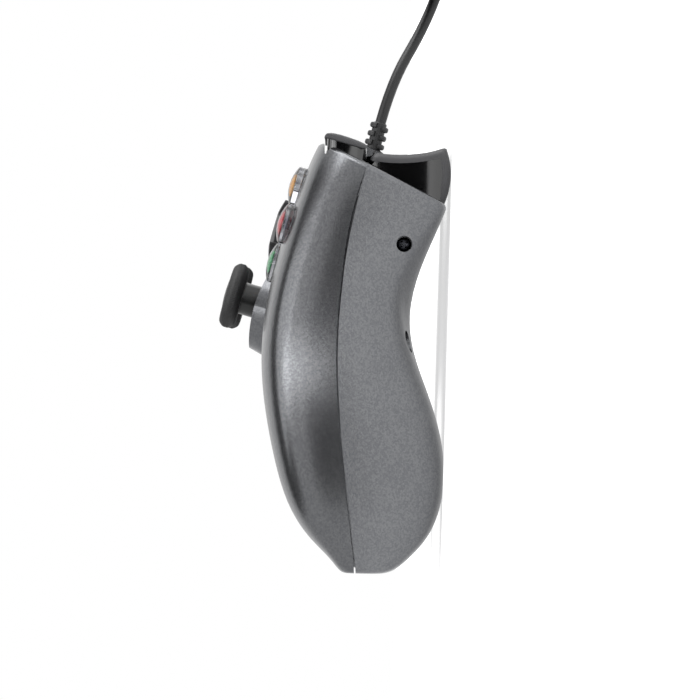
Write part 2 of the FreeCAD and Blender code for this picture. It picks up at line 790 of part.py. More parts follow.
def dpad_cap():
    """Round dish with a raised cross, on a boss that rocks on the ring."""
    low = DPAD_PIVOT_Y_OUT + NUB_RADIUS
    dish = [(0, 1.0), (6.0, 0.5), (9.6, 0.5), (DPAD_RADIUS - 0.4, 0.8), (DPAD_RADIUS, 0.4)]
    under = DPAD_FLANGE_TOP - DPAD_FLANGE_THICK
    dish += [(DPAD_RADIUS, DPAD_FLANGE_TOP), (DPAD_FLANGE_RADIUS, DPAD_FLANGE_TOP)]
    dish += [(DPAD_FLANGE_RADIUS, under), (6.4, under), (6.4, low), (0, low)]
    body = turned(dish)
    arm = block(-DPAD_ARM, DPAD_ARM, -DPAD_ARM_WIDTH / 2, DPAD_ARM_WIDTH / 2, 0, 9)
    cross = arm.fuse(arm.copy().rotate(Vec(0, 0, 0), Z_AXIS, 90)).removeSplitter()
    corners = [edge for edge in cross.Edges if abs(edge.Vertexes[0].Z - edge.Vertexes[-1].Z) > 1]
    cross = cross.makeFillet(0.9, corners)
    crown = Part.makeSphere(26.0, Vec(0, 0, DPAD_TOP - 26.0))
    cross = cross.common(crown)
    hollow = Part.makeSphere(12.0, Vec(0, 0, DPAD_TOP + 10.6))
    legs = [cylinder(1.7, PAD_TOP, DPAD_FLANGE_TOP, x, y) for x, y in dpad_legs()]
    return body.multiFuse([cross.cut(hollow)] + legs)


def dpad_ring():
    """Rocker between cap and pivot, with two half-round ridges on top."""
    top = DPAD_PIVOT_Y_OUT - NUB_RADIUS / 2
    low = DPAD_PIVOT_X_OUT + NUB_RADIUS
    plate = cylinder(6.2, low, top)
    ridges = [
        Part.makeCylinder(NUB_RADIUS, 2.4, Vec(0, y, DPAD_PIVOT_Y_OUT), Y_AXIS) for y in (-6.0, 3.6)
    ]
    return plate.multiFuse(ridges)


def dpad_pivot():
    top = DPAD_PIVOT_X_OUT - NUB_RADIUS / 2
    post = cylinder(3.0, BOARD_TOP, top)
    bar = block(-6.2, 6.2, -1.4, 1.4, top - 1.6, top)
    ridges = [
        Part.makeCylinder(NUB_RADIUS, 2.4, Vec(x, 0, DPAD_PIVOT_X_OUT), X_AXIS) for x in (-6.0, 3.6)
    ]
    return post.multiFuse([bar] + ridges)


def stick_housing():
    """Open box round the gimbal, with a bore for each axle."""
    low = BOARD_TOP - PIVOT_OUT
    box = block(-HOUSING_HALF, HOUSING_HALF, -HOUSING_HALF, HOUSING_HALF, low, 2.6)
    inside = HOUSING_HALF - 1.0
    box = box.cut(block(-inside, inside, -inside, inside, low + 1.0, 5))
    bore = AXLE_RADIUS + RUNNING
    box = box.cut(bar_x(bore, -10, 10, 0, 0))
    return box.cut(Part.makeCylinder(bore, 20, Vec(0, -10, 0), Y_AXIS))


def stick_sensors(side):
    """A sensor can on the outer side and one on the lower side of a housing."""
    low = BOARD_TOP - PIVOT_OUT
    start = HOUSING_HALF
    can = block(start, start + 3.4, -5, 5, low, 0.3)
    can = can.cut(bar_x(AXLE_RADIUS + RUNNING, start - 1, start + 2.6, 0, 0))
    if side < 0:
        can = mirror(can)
    lower = block(-5, 5, -start - 3.4, -start, low, 0.3)
    lower = lower.cut(Part.makeCylinder(AXLE_RADIUS + RUNNING, 3.6, Vec(0, -start - 2.6, 0), Y_AXIS))
    return Part.makeCompound([can, lower])


def stick_carrier():
    """Lower yoke on the X axle, slotted for the post."""
    axle = bar_x(AXLE_RADIUS, -HOUSING_HALF - 2.2, HOUSING_HALF + 2.2, 0, 0)
    hub = block(-3.0, 3.0, -2.0, 2.0, -2.0, 2.0)
    body = axle.fuse(hub)
    return body.cut(block(-2.1, 2.1, -POST_RADIUS - 0.1, POST_RADIUS + 0.1, -4, 4))


def stick_post():
    """Shaft with a cross pin that lies in the carrier, wider where the stem slides on it."""
    shaft = cylinder(POST_RADIUS, -1.9, -PIVOT_OUT - 3.6)
    head = cylinder(SHAFT_RADIUS, -PIVOT_OUT - 3.6, -PIVOT_OUT + 5.0)
    return shaft.fuse(head)


def stick_arch():
    """Upper yoke on the Y axle, its slot lying along Y."""
    radius = HOUSING_HALF - 1.0 - ARCH_CLEARANCE
    ring = Part.makeCylinder(radius, 4.6, Vec(-2.3, 0, 0), X_AXIS)
    ring = ring.cut(Part.makeCylinder(radius - ARCH_WALL, 6, Vec(-3, 0, 0), X_AXIS))
    ring = ring.cut(block(-4, 4, -8, 8, -8, -1.2))
    slot = block(-POST_RADIUS - 0.15, POST_RADIUS + 0.15, -3.6, 3.6, 0, 8)
    ring = ring.cut(slot)
    root = radius - 0.7
    end = HOUSING_HALF + 2.2
    stubs = [Part.makeCylinder(AXLE_RADIUS, end - root, Vec(0, start, 0), Y_AXIS) for start in (-end, root)]
    return ring.multiFuse(stubs)


def stick_stem():
    """Round stem, its head under the cap and its domed skirt over the housing."""
    low = math.cos(math.radians(DOME_HALF_ANGLE)) * DOME_RADIUS
    ball = Part.makeSphere(DOME_RADIUS).cut(Part.makeSphere(DOME_RADIUS - DOME_THICK))
    skirt = ball.common(cylinder(20, low, 20))
    stem = cylinder(STEM_RADIUS, DOME_RADIUS - 1.6, -PIVOT_OUT + 6.9)
    head = cylinder(5.6, -PIVOT_OUT + 6.9, -PIVOT_OUT + 8.3)
    boss = cylinder(3.4, 6.2, DOME_RADIUS - 1.0)
    body = skirt.multiFuse([stem, head, boss])
    return body.cut(cylinder(SHAFT_RADIUS + RUNNING, 0, -PIVOT_OUT + 5.6))


def stick_cap():
    """Rubber cap, widest at mid height, with a crowned top."""
    base = -PIVOT_OUT
    side_low = Part.Arc(Vec(6.6, 0, base + 6.3), Vec(7.9, 0, base + 6.9), Vec(CAP_RADIUS, 0, base + 8.3))
    side_top = Part.Arc(Vec(CAP_RADIUS, 0, base + 8.3), Vec(8.15, 0, base + 9.5), Vec(7.3, 0, base + 10.3))
    corners = [
        Vec(0, 0, base + 10.9),
        Vec(0, 0, base + 8.3),
        Vec(5.6, 0, base + 8.3),
        Vec(5.6, 0, base + 6.9),
        Vec(STEM_RADIUS + 0.02, 0, base + 6.9),
        Vec(STEM_RADIUS + 0.02, 0, base + 6.3),
        Vec(6.6, 0, base + 6.3),
    ]
    edges = [side_low.toShape(), side_top.toShape(), crown_arc(7.3, base + 10.3, base + 10.9)]
    wire = Part.Wire(Part.__sortEdges__(edges + Part.makePolygon(corners).Edges))
    return Part.Face(wire).revolve(Vec(0, 0, 0), Z_AXIS, 360)


def trigger():
    """Hollow shell with a concave finger face and a curved heel skirt, hung on its pin."""

    def about_pin(radius, degrees):
        angle = math.radians(degrees)
        return Vec(0, PIN_Y + radius * math.cos(angle), PIN_Z + radius * math.sin(angle))

    crest = Vec(0, 47.5, 19.7)
    tip = Vec(0, 50.35, 2.0)
    finger = Part.BSplineCurve()
    finger.interpolate([
        crest, Vec(0, 48.8, 18.0), Vec(0, 48.5, 14.6), Vec(0, 48.6, 10.6), Vec(0, 49.2, 6.2), tip,
    ])
    inner_reach = TRIGGER_REACH - HEEL_THICK
    toe = Part.Arc(tip, Vec(0, 50.2, 1.3), about_pin(TRIGGER_REACH, -70.5)).toShape()
    sole = Part.Arc(
        about_pin(TRIGGER_REACH, -70.5), about_pin(TRIGGER_REACH, -100), about_pin(TRIGGER_REACH, HEEL_END)
    ).toShape()
    heel = Part.Arc(
        about_pin(inner_reach, HEEL_END), about_pin(inner_reach, -118), about_pin(inner_reach, HEEL_ROOT)
    ).toShape()
    end = Part.makeLine(about_pin(TRIGGER_REACH, HEEL_END), about_pin(inner_reach, HEEL_END))
    corners = [
        about_pin(inner_reach, HEEL_ROOT),
        Vec(0, PIN_Y - BARREL_RADIUS, PIN_Z - 1.0),
        Vec(0, PIN_Y - 1.0, 19.9),
        crest,
    ]
    outline = [finger.toShape(), toe, sole, end, heel] + Part.makePolygon(corners).Edges
    face = Part.Face(Part.Wire(outline))
    face.translate(Vec(TRIGGER_INNER_X, 0, 0))
    body = face.extrude(Vec(TRIGGER_OUTER_X - TRIGGER_INNER_X, 0, 0))
    body = body.fuse(bar_x(BARREL_RADIUS, TRIGGER_INNER_X, TRIGGER_OUTER_X, PIN_Y, PIN_Z))
    hollow_points = [(46.6, 17.6), (46.7, 14.6), (46.8, 10.4), (47.5, 5.6), (47.7, 2.9), (44.0, 1.8)]
    hollow_points += [(38.6, 2.6), (34.0, 4.5), (36.0, 14.5), (44.5, 14.7)]
    inner = TRIGGER_INNER_X + TRIGGER_WALL
    outer = TRIGGER_OUTER_X - TRIGGER_WALL
    core_block = bar_x(inner_reach, inner, outer, PIN_Y, PIN_Z)
    body = body.cut(side_prism(hollow_points, inner, outer).common(core_block))
    pocket = bar_x(BARREL_RADIUS + 0.6, inner, inner + 5.4, PIN_Y, PIN_Z)
    body = body.cut(pocket)
    return body.cut(bar_x(PIN_RADIUS + RUNNING, 20, 80, PIN_Y, PIN_Z))


def trigger_pin():
    return bar_x(PIN_RADIUS, 23.8, CHEEK_INNER_X + 2.2, PIN_Y, PIN_Z)


def trigger_spring():
    """Wound spring round the pin, with a leg on the trigger and one on the rib."""
    start = TRIGGER_INNER_X + TRIGGER_WALL + 0.3
    sleeve = bar_x(2.1, start, start + 4.6, PIN_Y, PIN_Z).cut(bar_x(PIN_RADIUS, start - 1, start + 6, PIN_Y, PIN_Z))
    leg = Part.makeCylinder(0.4, 7.0, Vec(start + 4.0, PIN_Y + 1.6, PIN_Z), Vec(0, 0.13, -1))
    return sleeve.fuse(leg)


def bumper_profile(points):
    """An outline of (Y, Z) points at the bumper's fullest, swept round the shoulder."""
    outline = [Vec(BUMPER_CREST_X, y, z) for y, z in points]
    face = Part.Face(Part.makePolygon(outline + [outline[0]]))
    axis = Vec(BUMPER_CREST_X, BUMPER_CREST_Y - BUMPER_SWEEP_RADIUS, 0)
    face.rotate(axis, Z_AXIS, -4.5)
    return face.revolve(axis, Z_AXIS, 12.0)


CAP_INNER_LINE = [(49.3, 20.9), (49.8, 23.1), (51.6, 29.8)]


def bumper_cap():
    """Curved outer plate, clear of the shoulder plane when pressed."""
    points = [(51.9, 31.2), (53.4, 31.0), (BUMPER_CREST_Y, 30.2), (53.85, 28.6), (53.5, 27.0)]
    points += [(52.2, 22.5), (51.1, 20.9)]
    body = bumper_profile(points + CAP_INNER_LINE)
    stand_off = (BUMPER_TRAVEL + 0.08) * math.hypot(1, SHOULDER_PLANE_SLOPE)
    low = (shoulder_y(10) + stand_off, 10)
    high = (shoulder_y(40) + stand_off, 40)
    keep = side_prism([low, high, (70, 40), (70, 10)], BUMPER_INNER_X, BUMPER_OUTER_X)
    return body.common(keep)


def bumper_skirt():
    """Inner part of the bumper, running in the opening of the shells."""
    depth = SKIRT_DEPTH * math.hypot(1, SHOULDER_PLANE_SLOPE)
    low = (shoulder_y(SKIRT_LOW) - depth, SKIRT_LOW)
    high = (shoulder_y(SKIRT_HIGH) - depth, SKIRT_HIGH)
    back = [(49.0, SKIRT_LOW), (40.0, SKIRT_LOW), (40.0, SKIRT_HIGH), (51.4, SKIRT_HIGH)]
    body = bumper_profile(CAP_INNER_LINE[::-1] + back)
    keep = side_prism([low, high, (60, SKIRT_HIGH), (60, SKIRT_LOW)], SKIRT_INNER_X, SKIRT_OUTER_X)
    return body.common(keep)


def square_to_shoulder(shape, z, depth):
    """A piece drawn about Z, set looking out square to the shoulder plane at a depth behind it."""
    slant = math.degrees(math.atan(SHOULDER_PLANE_SLOPE))
    normal = Vec(0, math.cos(math.radians(slant)), -math.sin(math.radians(slant)))
    origin = Vec(0, shoulder_y(z), z) - normal * depth
    moved = shape.copy()
    moved.Placement = FreeCAD.Placement(origin, FreeCAD.Rotation(X_AXIS, -90 - slant))
    return moved


SWITCH_X = 46.0
SWITCH_Z = 24.0
SWITCH_DEPTH = 4.9


def shoulder_board():
    """Small board with its soldered switch behind a bumper."""
    plate = block(30, 62, -2.4, 2.6, -1.2, 0)
    switch = block(SWITCH_X - 3, SWITCH_X + 3, -2.2, 2.2, 0, 2.4)
    return square_to_shoulder(plate.fuse(switch), SWITCH_Z, SWITCH_DEPTH)


def shoulder_plunger():
    top = SWITCH_DEPTH - SKIRT_DEPTH
    return square_to_shoulder(cylinder(1.3, 2.4, top, SWITCH_X), SWITCH_Z, SWITCH_DEPTH)


def motor():
    """Can with a neck and a shaft on its outer end."""
    end = MOTOR_X + MOTOR_LENGTH / 2
    body = bar_x(MOTOR_RADIUS, end - MOTOR_LENGTH, end, MOTOR_Y, MOTOR_Z)
    neck = bar_x(3.0, end, end + 0.8, MOTOR_Y, MOTOR_Z)
    shaft = bar_x(MOTOR_SHAFT_RADIUS, end, end + WEIGHT_LENGTH + 2.0, MOTOR_Y, MOTOR_Z)
    return body.multiFuse([neck, shaft])


def motor_weight():
    """Half disc that swings with the motor's shaft."""
    start = MOTOR_X + MOTOR_LENGTH / 2 + 1.4
    disc = bar_x(WEIGHT_RADIUS, start, start + WEIGHT_LENGTH, MOTOR_Y, MOTOR_Z)
    upper = block(start - 1, start + 9, MOTOR_Y - 12, MOTOR_Y + 12, MOTOR_Z + 1.2, MOTOR_Z + 12)
    hub = bar_x(2.4, start, start + WEIGHT_LENGTH, MOTOR_Y, MOTOR_Z)
    body = disc.cut(upper).fuse(hub)
    return body.cut(bar_x(MOTOR_SHAFT_RADIUS + RUNNING, start - 1, start + 9, MOTOR_Y, MOTOR_Z))


def cable_gland():
    """Ribbed strain relief with a neck through the wall and a flange inside it."""
    flange = gland_cylinder(4.4, -4.8, -3.4)
    neck = gland_cylinder(3.0, -4.8, 1.2)
    collar = Part.makeCone(3.2, 2.7, 1.2, along_gland(1.0), gland_axis())
    sleeve = gland_cylinder(1.9, 1.0, GLAND_LENGTH)
    ribs = []
    for index in range(3):
        radius = 2.55 - 0.12 * index
        start = 3.1 + 2.25 * index
        ribs.append(gland_cylinder(radius, start, start + 1.15))
    return flange.multiFuse([neck, collar, sleeve] + ribs)


def cable_header():
    box = block(-4, 4, 4, 9.5, BOARD_TOP - BOARD_THICK - 4.5, BOARD_TOP - BOARD_THICK)
    return on_face(box, 0, 0)


def unit(vector):
    return vector / vector.Length


def route_with_arcs(points):
    """Straight runs joined by tangent arcs, and the least radius among them."""
    edges = []
    radii = []
    start = points[0]
    for before, corner, after in zip(points, points[1:], points[2:]):
        inward = unit(corner - before)
        onward = unit(after - corner)
        half_turn = inward.getAngle(onward) / 2
        cut = 0.45 * min((corner - before).Length, (after - corner).Length)
        radii.append(cut / math.tan(half_turn))
        first = corner - inward * cut
        last = corner + onward * cut
        bulge = radii[-1] * (1 / math.cos(half_turn) - 1)
        middle = corner + unit(onward - inward) * bulge
        edges.append(Part.makeLine(start, first))
        edges.append(Part.Arc(first, middle, last).toShape())
        start = last
    edges.append(Part.makeLine(start, points[-1]))
    return edges, radii


def swept(edges, section, normal):
    path = Part.Wire(edges)
    section.Placement = FreeCAD.Placement(path.Vertexes[0].Point, FreeCAD.Rotation(Z_AXIS, normal))
    return path.makePipeShell([section], True, False)


COIL_OUTER = COIL_MEAN_RADIUS + COIL_TURNS * COIL_STEP / 2
COIL_INNER = COIL_MEAN_RADIUS - COIL_TURNS * COIL_STEP / 2
COIL_FLOOR = CORD_RADIUS + TIE_THICK + 0.1
TAIL_RADIUS = COIL_OUTER + COIL_STEP
PLUG_RADIUS = TAIL_RADIUS + CORD_RADIUS + PLUG_WIDTH / 2 + 0.6
TAIL_Z = PLUG_HEIGHT / 2
TAIL_CROSSING_Z = 9.6


def coil_stages():
    """Turns, radius and height at the ends of each stage of the winding."""
    stages = [(0.0, COIL_OUTER, COIL_FLOOR)]
    turns = 0.0
    for layer in range(4):
        turns += COIL_TURNS
        radius = COIL_INNER if layer % 2 == 0 else COIL_OUTER
        stages.append((turns, radius, COIL_FLOOR + layer * COIL_STEP))
        if layer < 3:
            turns += 0.5
            stages.append((turns, radius, COIL_FLOOR + (layer + 1) * COIL_STEP))
    stages.append((turns + 0.5, TAIL_RADIUS, COIL_FLOOR + 3 * COIL_STEP))
    stages.append((turns + 0.75, TAIL_RADIUS + 1.0, TAIL_CROSSING_Z))
    stages.append((turns + 1.0, PLUG_RADIUS, TAIL_Z))
    return stages


def coil_point(turn):
    """A point on the winding; it starts on the -X side, heading for +Y."""
    stages = coil_stages()
    for (turn_a, radius_a, height_a), (turn_b, radius_b, height_b) in zip(stages, stages[1:]):
        if turn <= turn_b + 0.000001:
            break
    share = (turn - turn_a) / (turn_b - turn_a)
    eased = share * share * (3 - 2 * share)
    radius = radius_a + (radius_b - radius_a) * share
    if height_a != height_b:
        share = eased
    height = height_a + (height_b - height_a) * share
    angle = math.pi - 2 * math.pi * turn
    return Vec(COIL_X + radius * math.cos(angle), COIL_Y + radius * math.sin(angle), height)


def coil_heading(turn, last):
    low = max(turn - 0.002, 0.0)
    high = min(turn + 0.002, last)
    return unit(coil_point(high) - coil_point(low))


def biarc(start, heading, end, end_heading):
    """Two arcs that join smoothly and match both headings."""
    chord = end - start
    both = heading + end_heading
    a = 2 * (1 - heading.dot(end_heading))
    b = 2 * chord.dot(both)
    c = -chord.dot(chord)
    if abs(a) < 0.000001:
        reach_out = -c / b
    else:
        reach_out = (-b + math.sqrt(b * b - 4 * a * c)) / (2 * a)
    first = start + heading * reach_out
    second = end - end_heading * reach_out
    joint = (first + second) * 0.5

    def arc(a_point, tangent, b_point):
        chord_ab = b_point - a_point
        across = chord_ab - tangent * chord_ab.dot(tangent)
        if across.Length < 0.00001:
            return Part.makeLine(a_point, b_point)
        side = unit(across)
        radius = chord_ab.dot(chord_ab) / (2 * chord_ab.dot(side))
        centre = a_point + side * radius
        middle = centre + unit((a_point + b_point) * 0.5 - centre) * radius
        return Part.Arc(a_point, middle, b_point).toShape()

    return [arc(start, heading, joint), arc(joint, unit(second - first), end)]


def coil_edges():
    last = coil_stages()[-1][0]
    marks = [0.25 * index for index in range(int(last / 0.25) + 1)]
    for turn, _, _ in coil_stages():
        if min(abs(turn - mark) for mark in marks) > 0.01:
            marks.append(turn)
    marks.sort()
    straight = 2 * CORD_RADIUS
    start = coil_point(0)
    edges = [Part.makeLine(start - Y_AXIS * straight, start)]
    headings = {}
    for mark in marks:
        headings[mark] = coil_heading(mark, last)
    headings[marks[0]] = Y_AXIS
    headings[marks[-1]] = Y_AXIS
    for here, there in zip(marks, marks[1:]):
        edges += biarc(coil_point(here), headings[here], coil_point(there), headings[there])
    end = coil_point(last)
    edges.append(Part.makeLine(end, end + Y_AXIS * straight))
    return edges


def cord_section(sides):
    """A faceted round section in the XY plane."""
    radius = CORD_RADIUS
    points = []
    for index in range(sides):
        angle = math.radians(360.0 * (index + 0.5) / sides)
        points.append(Vec(radius * math.cos(angle), radius * math.sin(angle), 0))
    return Part.makePolygon(points + [points[0]])


def cord_coil():
    edges = coil_edges()
    return swept(edges, cord_section(6), Y_AXIS), edges


def least_gap(edges):
    """Least gap of the winding to itself, measured on points along it."""
    points = []
    travelled = 0.0
    for edge in edges:
        count = max(2, int(edge.Length / 1.2))
        for index in range(count):
            share = index / count
            span = edge.LastParameter - edge.FirstParameter
            points.append((travelled + edge.Length * share, edge.valueAt(edge.FirstParameter + span * share)))
        travelled += edge.Length
    least = 100.0
    for index, (length_a, a) in enumerate(points):
        for length_b, b in points[index + 1:]:
            if length_b - length_a > 4 * CORD_RADIUS * 2:
                if abs(a.x - b.x) < 5 and abs(a.y - b.y) < 5:
                    least = min(least, (a - b).Length)
    return least - 2 * CORD_RADIUS, travelled


def cord_route():
    exit_point = along_gland(GLAND_LENGTH)
    start_of_coil = coil_point(0) - Y_AXIS * 2 * CORD_RADIUS
    return [
        exit_point,
        exit_point + gland_axis() * 11.0,
        Vec(-6.5, 83.5, 7.2),
        Vec(-16.5, 96.5, 2.4),
        Vec(start_of_coil.x, 109.0, COIL_FLOOR),
        start_of_coil,
    ]


def cord():
    edges, radii = route_with_arcs(cord_route())
    section = Part.Wire(Part.makeCircle(CORD_RADIUS))
    solid = swept(edges, section, gland_axis())
    length = sum(edge.Length for edge in edges)
    print("cord radii", [round(radius, 1) for radius in radii])
    print("cord volume share", round(solid.Volume / (math.pi * CORD_RADIUS**2 * length), 4))
    return solid, length


def coil_tie():
    """Flat band round the bundle of turns, on the side away from the gamepad."""
    low = COIL_Y + COIL_INNER - CORD_RADIUS - 0.3
    high = COIL_Y + TAIL_RADIUS - COIL_STEP / 2 + CORD_RADIUS + 0.4
    top = COIL_FLOOR + 3 * COIL_STEP + CORD_RADIUS + 0.2
    inside = block(COIL_X - 3, COIL_X + 3, low, high, TIE_THICK, top)
    outside = block(
        COIL_X - 2, COIL_X + 2, low - TIE_THICK, high + TIE_THICK, 0, top + TIE_THICK
    )
    return outside.cut(inside)


def usb_plug():
    start = coil_point(coil_stages()[-1][0]) + Y_AXIS * 2 * CORD_RADIUS
    half = PLUG_WIDTH / 2
    nose = 4.0
    sleeve = Part.makeCylinder(2.6, nose + 1, start, Y_AXIS)
    low_y = start.y + nose
    grip = block(start.x - half, start.x + half, low_y, low_y + PLUG_LENGTH - nose, 0, PLUG_HEIGHT)
    long_edges = []
    for edge in grip.Edges:
        if abs(edge.Vertexes[0].Y - edge.Vertexes[-1].Y) > 1:
            long_edges.append(edge)
    grip = grip.makeFillet(1.8, long_edges).fuse(sleeve)
    wide = CONNECTOR_WIDTH / 2
    front = start.y + PLUG_LENGTH
    middle = PLUG_HEIGHT / 2
    tall = CONNECTOR_HEIGHT / 2
    shell = block(start.x - wide, start.x + wide, front, front + CONNECTOR_LENGTH, middle - tall, middle + tall)
    mouth = block(
        start.x - wide + 0.4, start.x + wide - 0.4, front + 1, front + 30, middle - tall + 0.4, middle + tall - 0.4
    )
    tongue = block(start.x - wide + 0.6, start.x + wide - 0.6, front + 0.5, front + 17, middle, middle + 1.8)
    shell = shell.cut(mouth).fuse(tongue)
    return grip, shell


def save(name, shape):
    solids = shape.Solids
    print(name, len(solids), shape.isValid(), round(shape.Volume, 1))
    if len(solids) == 1:
        shape = solids[0]
    shape.exportStep("parts/" + name + ".step")


def save_shells():
    outer = outer_form()
    cavity = cavity_form()
    save("front_shell", front_shell(outer, cavity))
    save("rear_shell", rear_shell(outer, cavity))


def save_face_pieces():
    save("main_board", main_board())
    save("face_button_membrane", face_button_membrane())
    save("dpad_membrane", dpad_membrane())
    save("menu_membrane", menu_membrane())
    for name, (x, up) in zip(("top", "right", "bottom", "left"), button_places()):
        save(name + "_button_lens", on_face(lens(), x, up))
        save(name + "_button_core", on_face(core(), x, up))
    save("select_button", on_face(menu_button(), -MENU_X, MENU_UP))
    save("start_button", on_face(menu_button(), MENU_X, MENU_UP))
    save("home_button", on_face(home_button(), 0, HOME_UP))
    save("light_pipes", light_pipes())
    for name, shape in (("cap", dpad_cap()), ("ring", dpad_ring()), ("pivot", dpad_pivot())):
        save("dpad_" + name, on_face(shape, -CLUSTER_X, CLUSTER_UP))


def save_sticks():
    for name, side in (("left", -1), ("right", 1)):
        x, up = stick_foot(side)
        pieces = {
            "stick_housing": stick_housing(),
            "stick_carrier": stick_carrier(),
            "stick_post": stick_post(),
            "stick_arch": stick_arch(),
            "stick_stem": stick_stem(),
            "stick_cap": stick_cap(),
        }
        for piece, shape in pieces.items():
            save(name + "_" + piece, on_face(shape, x, up, PIVOT_OUT))
        save(name + "_stick_sensors", on_face(stick_sensors(side), x, up, PIVOT_OUT))


def save_pairs():
    pieces = {
        "trigger": trigger(),
        "trigger_pin": trigger_pin(),
        "trigger_spring": trigger_spring(),
        "bumper_cap": bumper_cap(),
        "bumper_skirt": bumper_skirt(),
        "shoulder_board": shoulder_board(),
        "shoulder_plunger": shoulder_plunger(),
        "motor": motor(),
        "motor_weight": motor_weight(),
    }
    for name, shape in pieces.items():
        save("right_" + name, shape)
        save("left_" + name, mirror(shape))


def save_cord():
    save("cable_gland", cable_gland())
    save("cable_header", cable_header())
    tube, tube_length = cord()
    save("cord", tube)
    coil, edges = cord_coil()
    save("cord_coil", coil)
    gap, coil_length = least_gap(edges)
    print("coil least gap", round(gap, 2))
    print("cord length", round(tube_length + coil_length, 1))
    save("coil_tie", coil_tie())
    grip, shell = usb_plug()
    save("usb_plug_grip", grip)
    save("usb_plug_shell", shell)


save_shells()
save_face_pieces()
save_sticks()
save_pairs()
save_cord()
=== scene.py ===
"""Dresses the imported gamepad: finishes, triggers, thumbsticks, screws, cord, light and camera.

Lengths are in millimetres until a piece is set. The stage, the cord's own length and the boxes
that are read back are in metres.
"""
import json
import logging
import math
from dataclasses import dataclass, field
from enum import Enum

import bmesh
import bpy
from mathutils import Matrix, Vector


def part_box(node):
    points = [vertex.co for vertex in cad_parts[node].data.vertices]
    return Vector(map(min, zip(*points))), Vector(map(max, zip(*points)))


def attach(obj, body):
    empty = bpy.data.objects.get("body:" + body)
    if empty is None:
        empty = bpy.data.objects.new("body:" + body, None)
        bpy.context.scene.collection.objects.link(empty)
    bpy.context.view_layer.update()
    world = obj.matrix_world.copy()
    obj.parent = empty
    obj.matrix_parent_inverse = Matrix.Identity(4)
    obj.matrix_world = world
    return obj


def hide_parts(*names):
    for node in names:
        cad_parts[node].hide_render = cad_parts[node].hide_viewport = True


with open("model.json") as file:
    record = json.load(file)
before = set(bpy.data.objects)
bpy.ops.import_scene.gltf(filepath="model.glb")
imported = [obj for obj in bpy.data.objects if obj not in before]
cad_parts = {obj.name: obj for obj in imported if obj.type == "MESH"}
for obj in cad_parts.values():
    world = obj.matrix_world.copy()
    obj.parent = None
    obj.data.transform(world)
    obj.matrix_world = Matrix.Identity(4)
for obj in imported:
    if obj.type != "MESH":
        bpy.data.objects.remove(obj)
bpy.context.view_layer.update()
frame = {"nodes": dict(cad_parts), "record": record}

LOG = logging.getLogger("gamepad")
MM = 0.001
X_AXIS = Vector((1, 0, 0))
Mesh = bpy.types.Mesh
Piece = bpy.types.Object
Socket = bpy.types.NodeSocket
Tree = bpy.types.NodeTree
Pair = tuple[float, float]
Triple = tuple[float, float, float]

# Points of a mesh closer than this are one.
WELD = 0.0005

# The middle of the four face buttons, how far each stands from it, which way in degrees, and its tint.
CLUSTER = (47.0, 0.35)
BUTTON_OFFSET = 9.8
BUTTON_TURNS = {"right": 0, "top": 90, "left": 180, "bottom": 270}
BUTTON_TINTS = {"top": "amber", "right": "red", "bottom": "green", "left": "blue"}

# Where a thumbstick stands: its distance from the middle, and its place along the face.
STICK_X = 24.0
STICK_UP = -20.0

# The face of the pad: where it is, and how far it leans towards the cord.
FACE_TILT = math.radians(14.5)
FACE_ORIGIN = Vector((0.0, 30.7, 39.8))
FACE_UP = Vector((0.0, math.cos(FACE_TILT), -math.sin(FACE_TILT)))
FACE_OUT = Vector((0.0, math.sin(FACE_TILT), math.cos(FACE_TILT)))


class Side(Enum):
    """A side of the pad, with the sign of X there."""

    LEFT = -1
    RIGHT = 1

    def named(self, part: str) -> str:
        """The name of one of this side's parts."""
        return f"{self.name.lower()}_{part}"


def standing(spot: Vector, axis: Vector, across: Vector) -> Matrix:
    """The place of a piece whose Z axis points along an axis and whose X axis points across it."""
    third = axis.cross(across)
    return Matrix.Translation(spot) @ Matrix((across, third, axis)).transposed().to_4x4()


def on_face(x: float, up: float) -> Matrix:
    """The place of a piece square on the face, at x from the middle and up towards the cord."""
    return standing(FACE_ORIGIN + X_AXIS * x + FACE_UP * up, FACE_OUT, X_AXIS)


def linear(hex_colour: str) -> tuple[float, float, float, float]:
    """Turns an sRGB hex colour into the linear colour that shaders take.

    Args:
        hex_colour: Six hex digits after a hash sign.

    Returns:
        Linear red, green and blue, with full opacity.
    """
    parts = []
    for start in (1, 3, 5):
        share = int(hex_colour[start:start + 2], 16) / 255
        parts.append(share / 12.92 if share <= 0.04045 else ((share + 0.055) / 1.055) ** 2.4)
    return parts[0], parts[1], parts[2], 1.0


class Pattern(Enum):
    """What a surface's small relief looks like."""

    NONE = "none"
    GRAIN = "grain"
    SPARKLE = "sparkle"
    BRUSHED = "brushed"
    WOVEN = "woven"


@dataclass(frozen=True)
class Finish:
    """One real material with the process that gives it its surface."""

    name: str
    colour: str
    second_colour: str
    roughness: float
    pattern: Pattern = Pattern.NONE
    pattern_mm: float = 0.3
    relief: float = 0.1
    roughness_swing: float = 0.05
    patch_mm: float = 12.0
    metallic: float = 0.0
    ior: float = 1.5
    transmission: float = 0.0
    coat: float = 0.0
    coat_roughness: float = 0.05
    sheen: float = 0.0


# ABS sprayed with metal-flake paint: soft wide highlights and a faint sparkle. The flake of the
# real paint is under 0.1 mm and is drawn as coarse as it needs to show.
FLAKE_PAINT = Finish(
    "abs_flake_painted", "#6e6f71", "#626366", 0.26, Pattern.SPARKLE, 0.36, 0.1,
    roughness_swing=0.02, metallic=0.9,
)
# ABS from a polished mould: deep black with sharp reflections.
POLISHED_ABS = Finish("abs_polished_black", "#0a0a0b", "#0d0d0e", 0.07, coat=0.6, roughness_swing=0.02)
# The same black straight from the mould, as on thumbstick stems: even, with soft reflections.
MOULDED_ABS = Finish("abs_moulded_black", "#0e0e0f", "#121213", 0.3, Pattern.GRAIN, 0.25, 0.05)
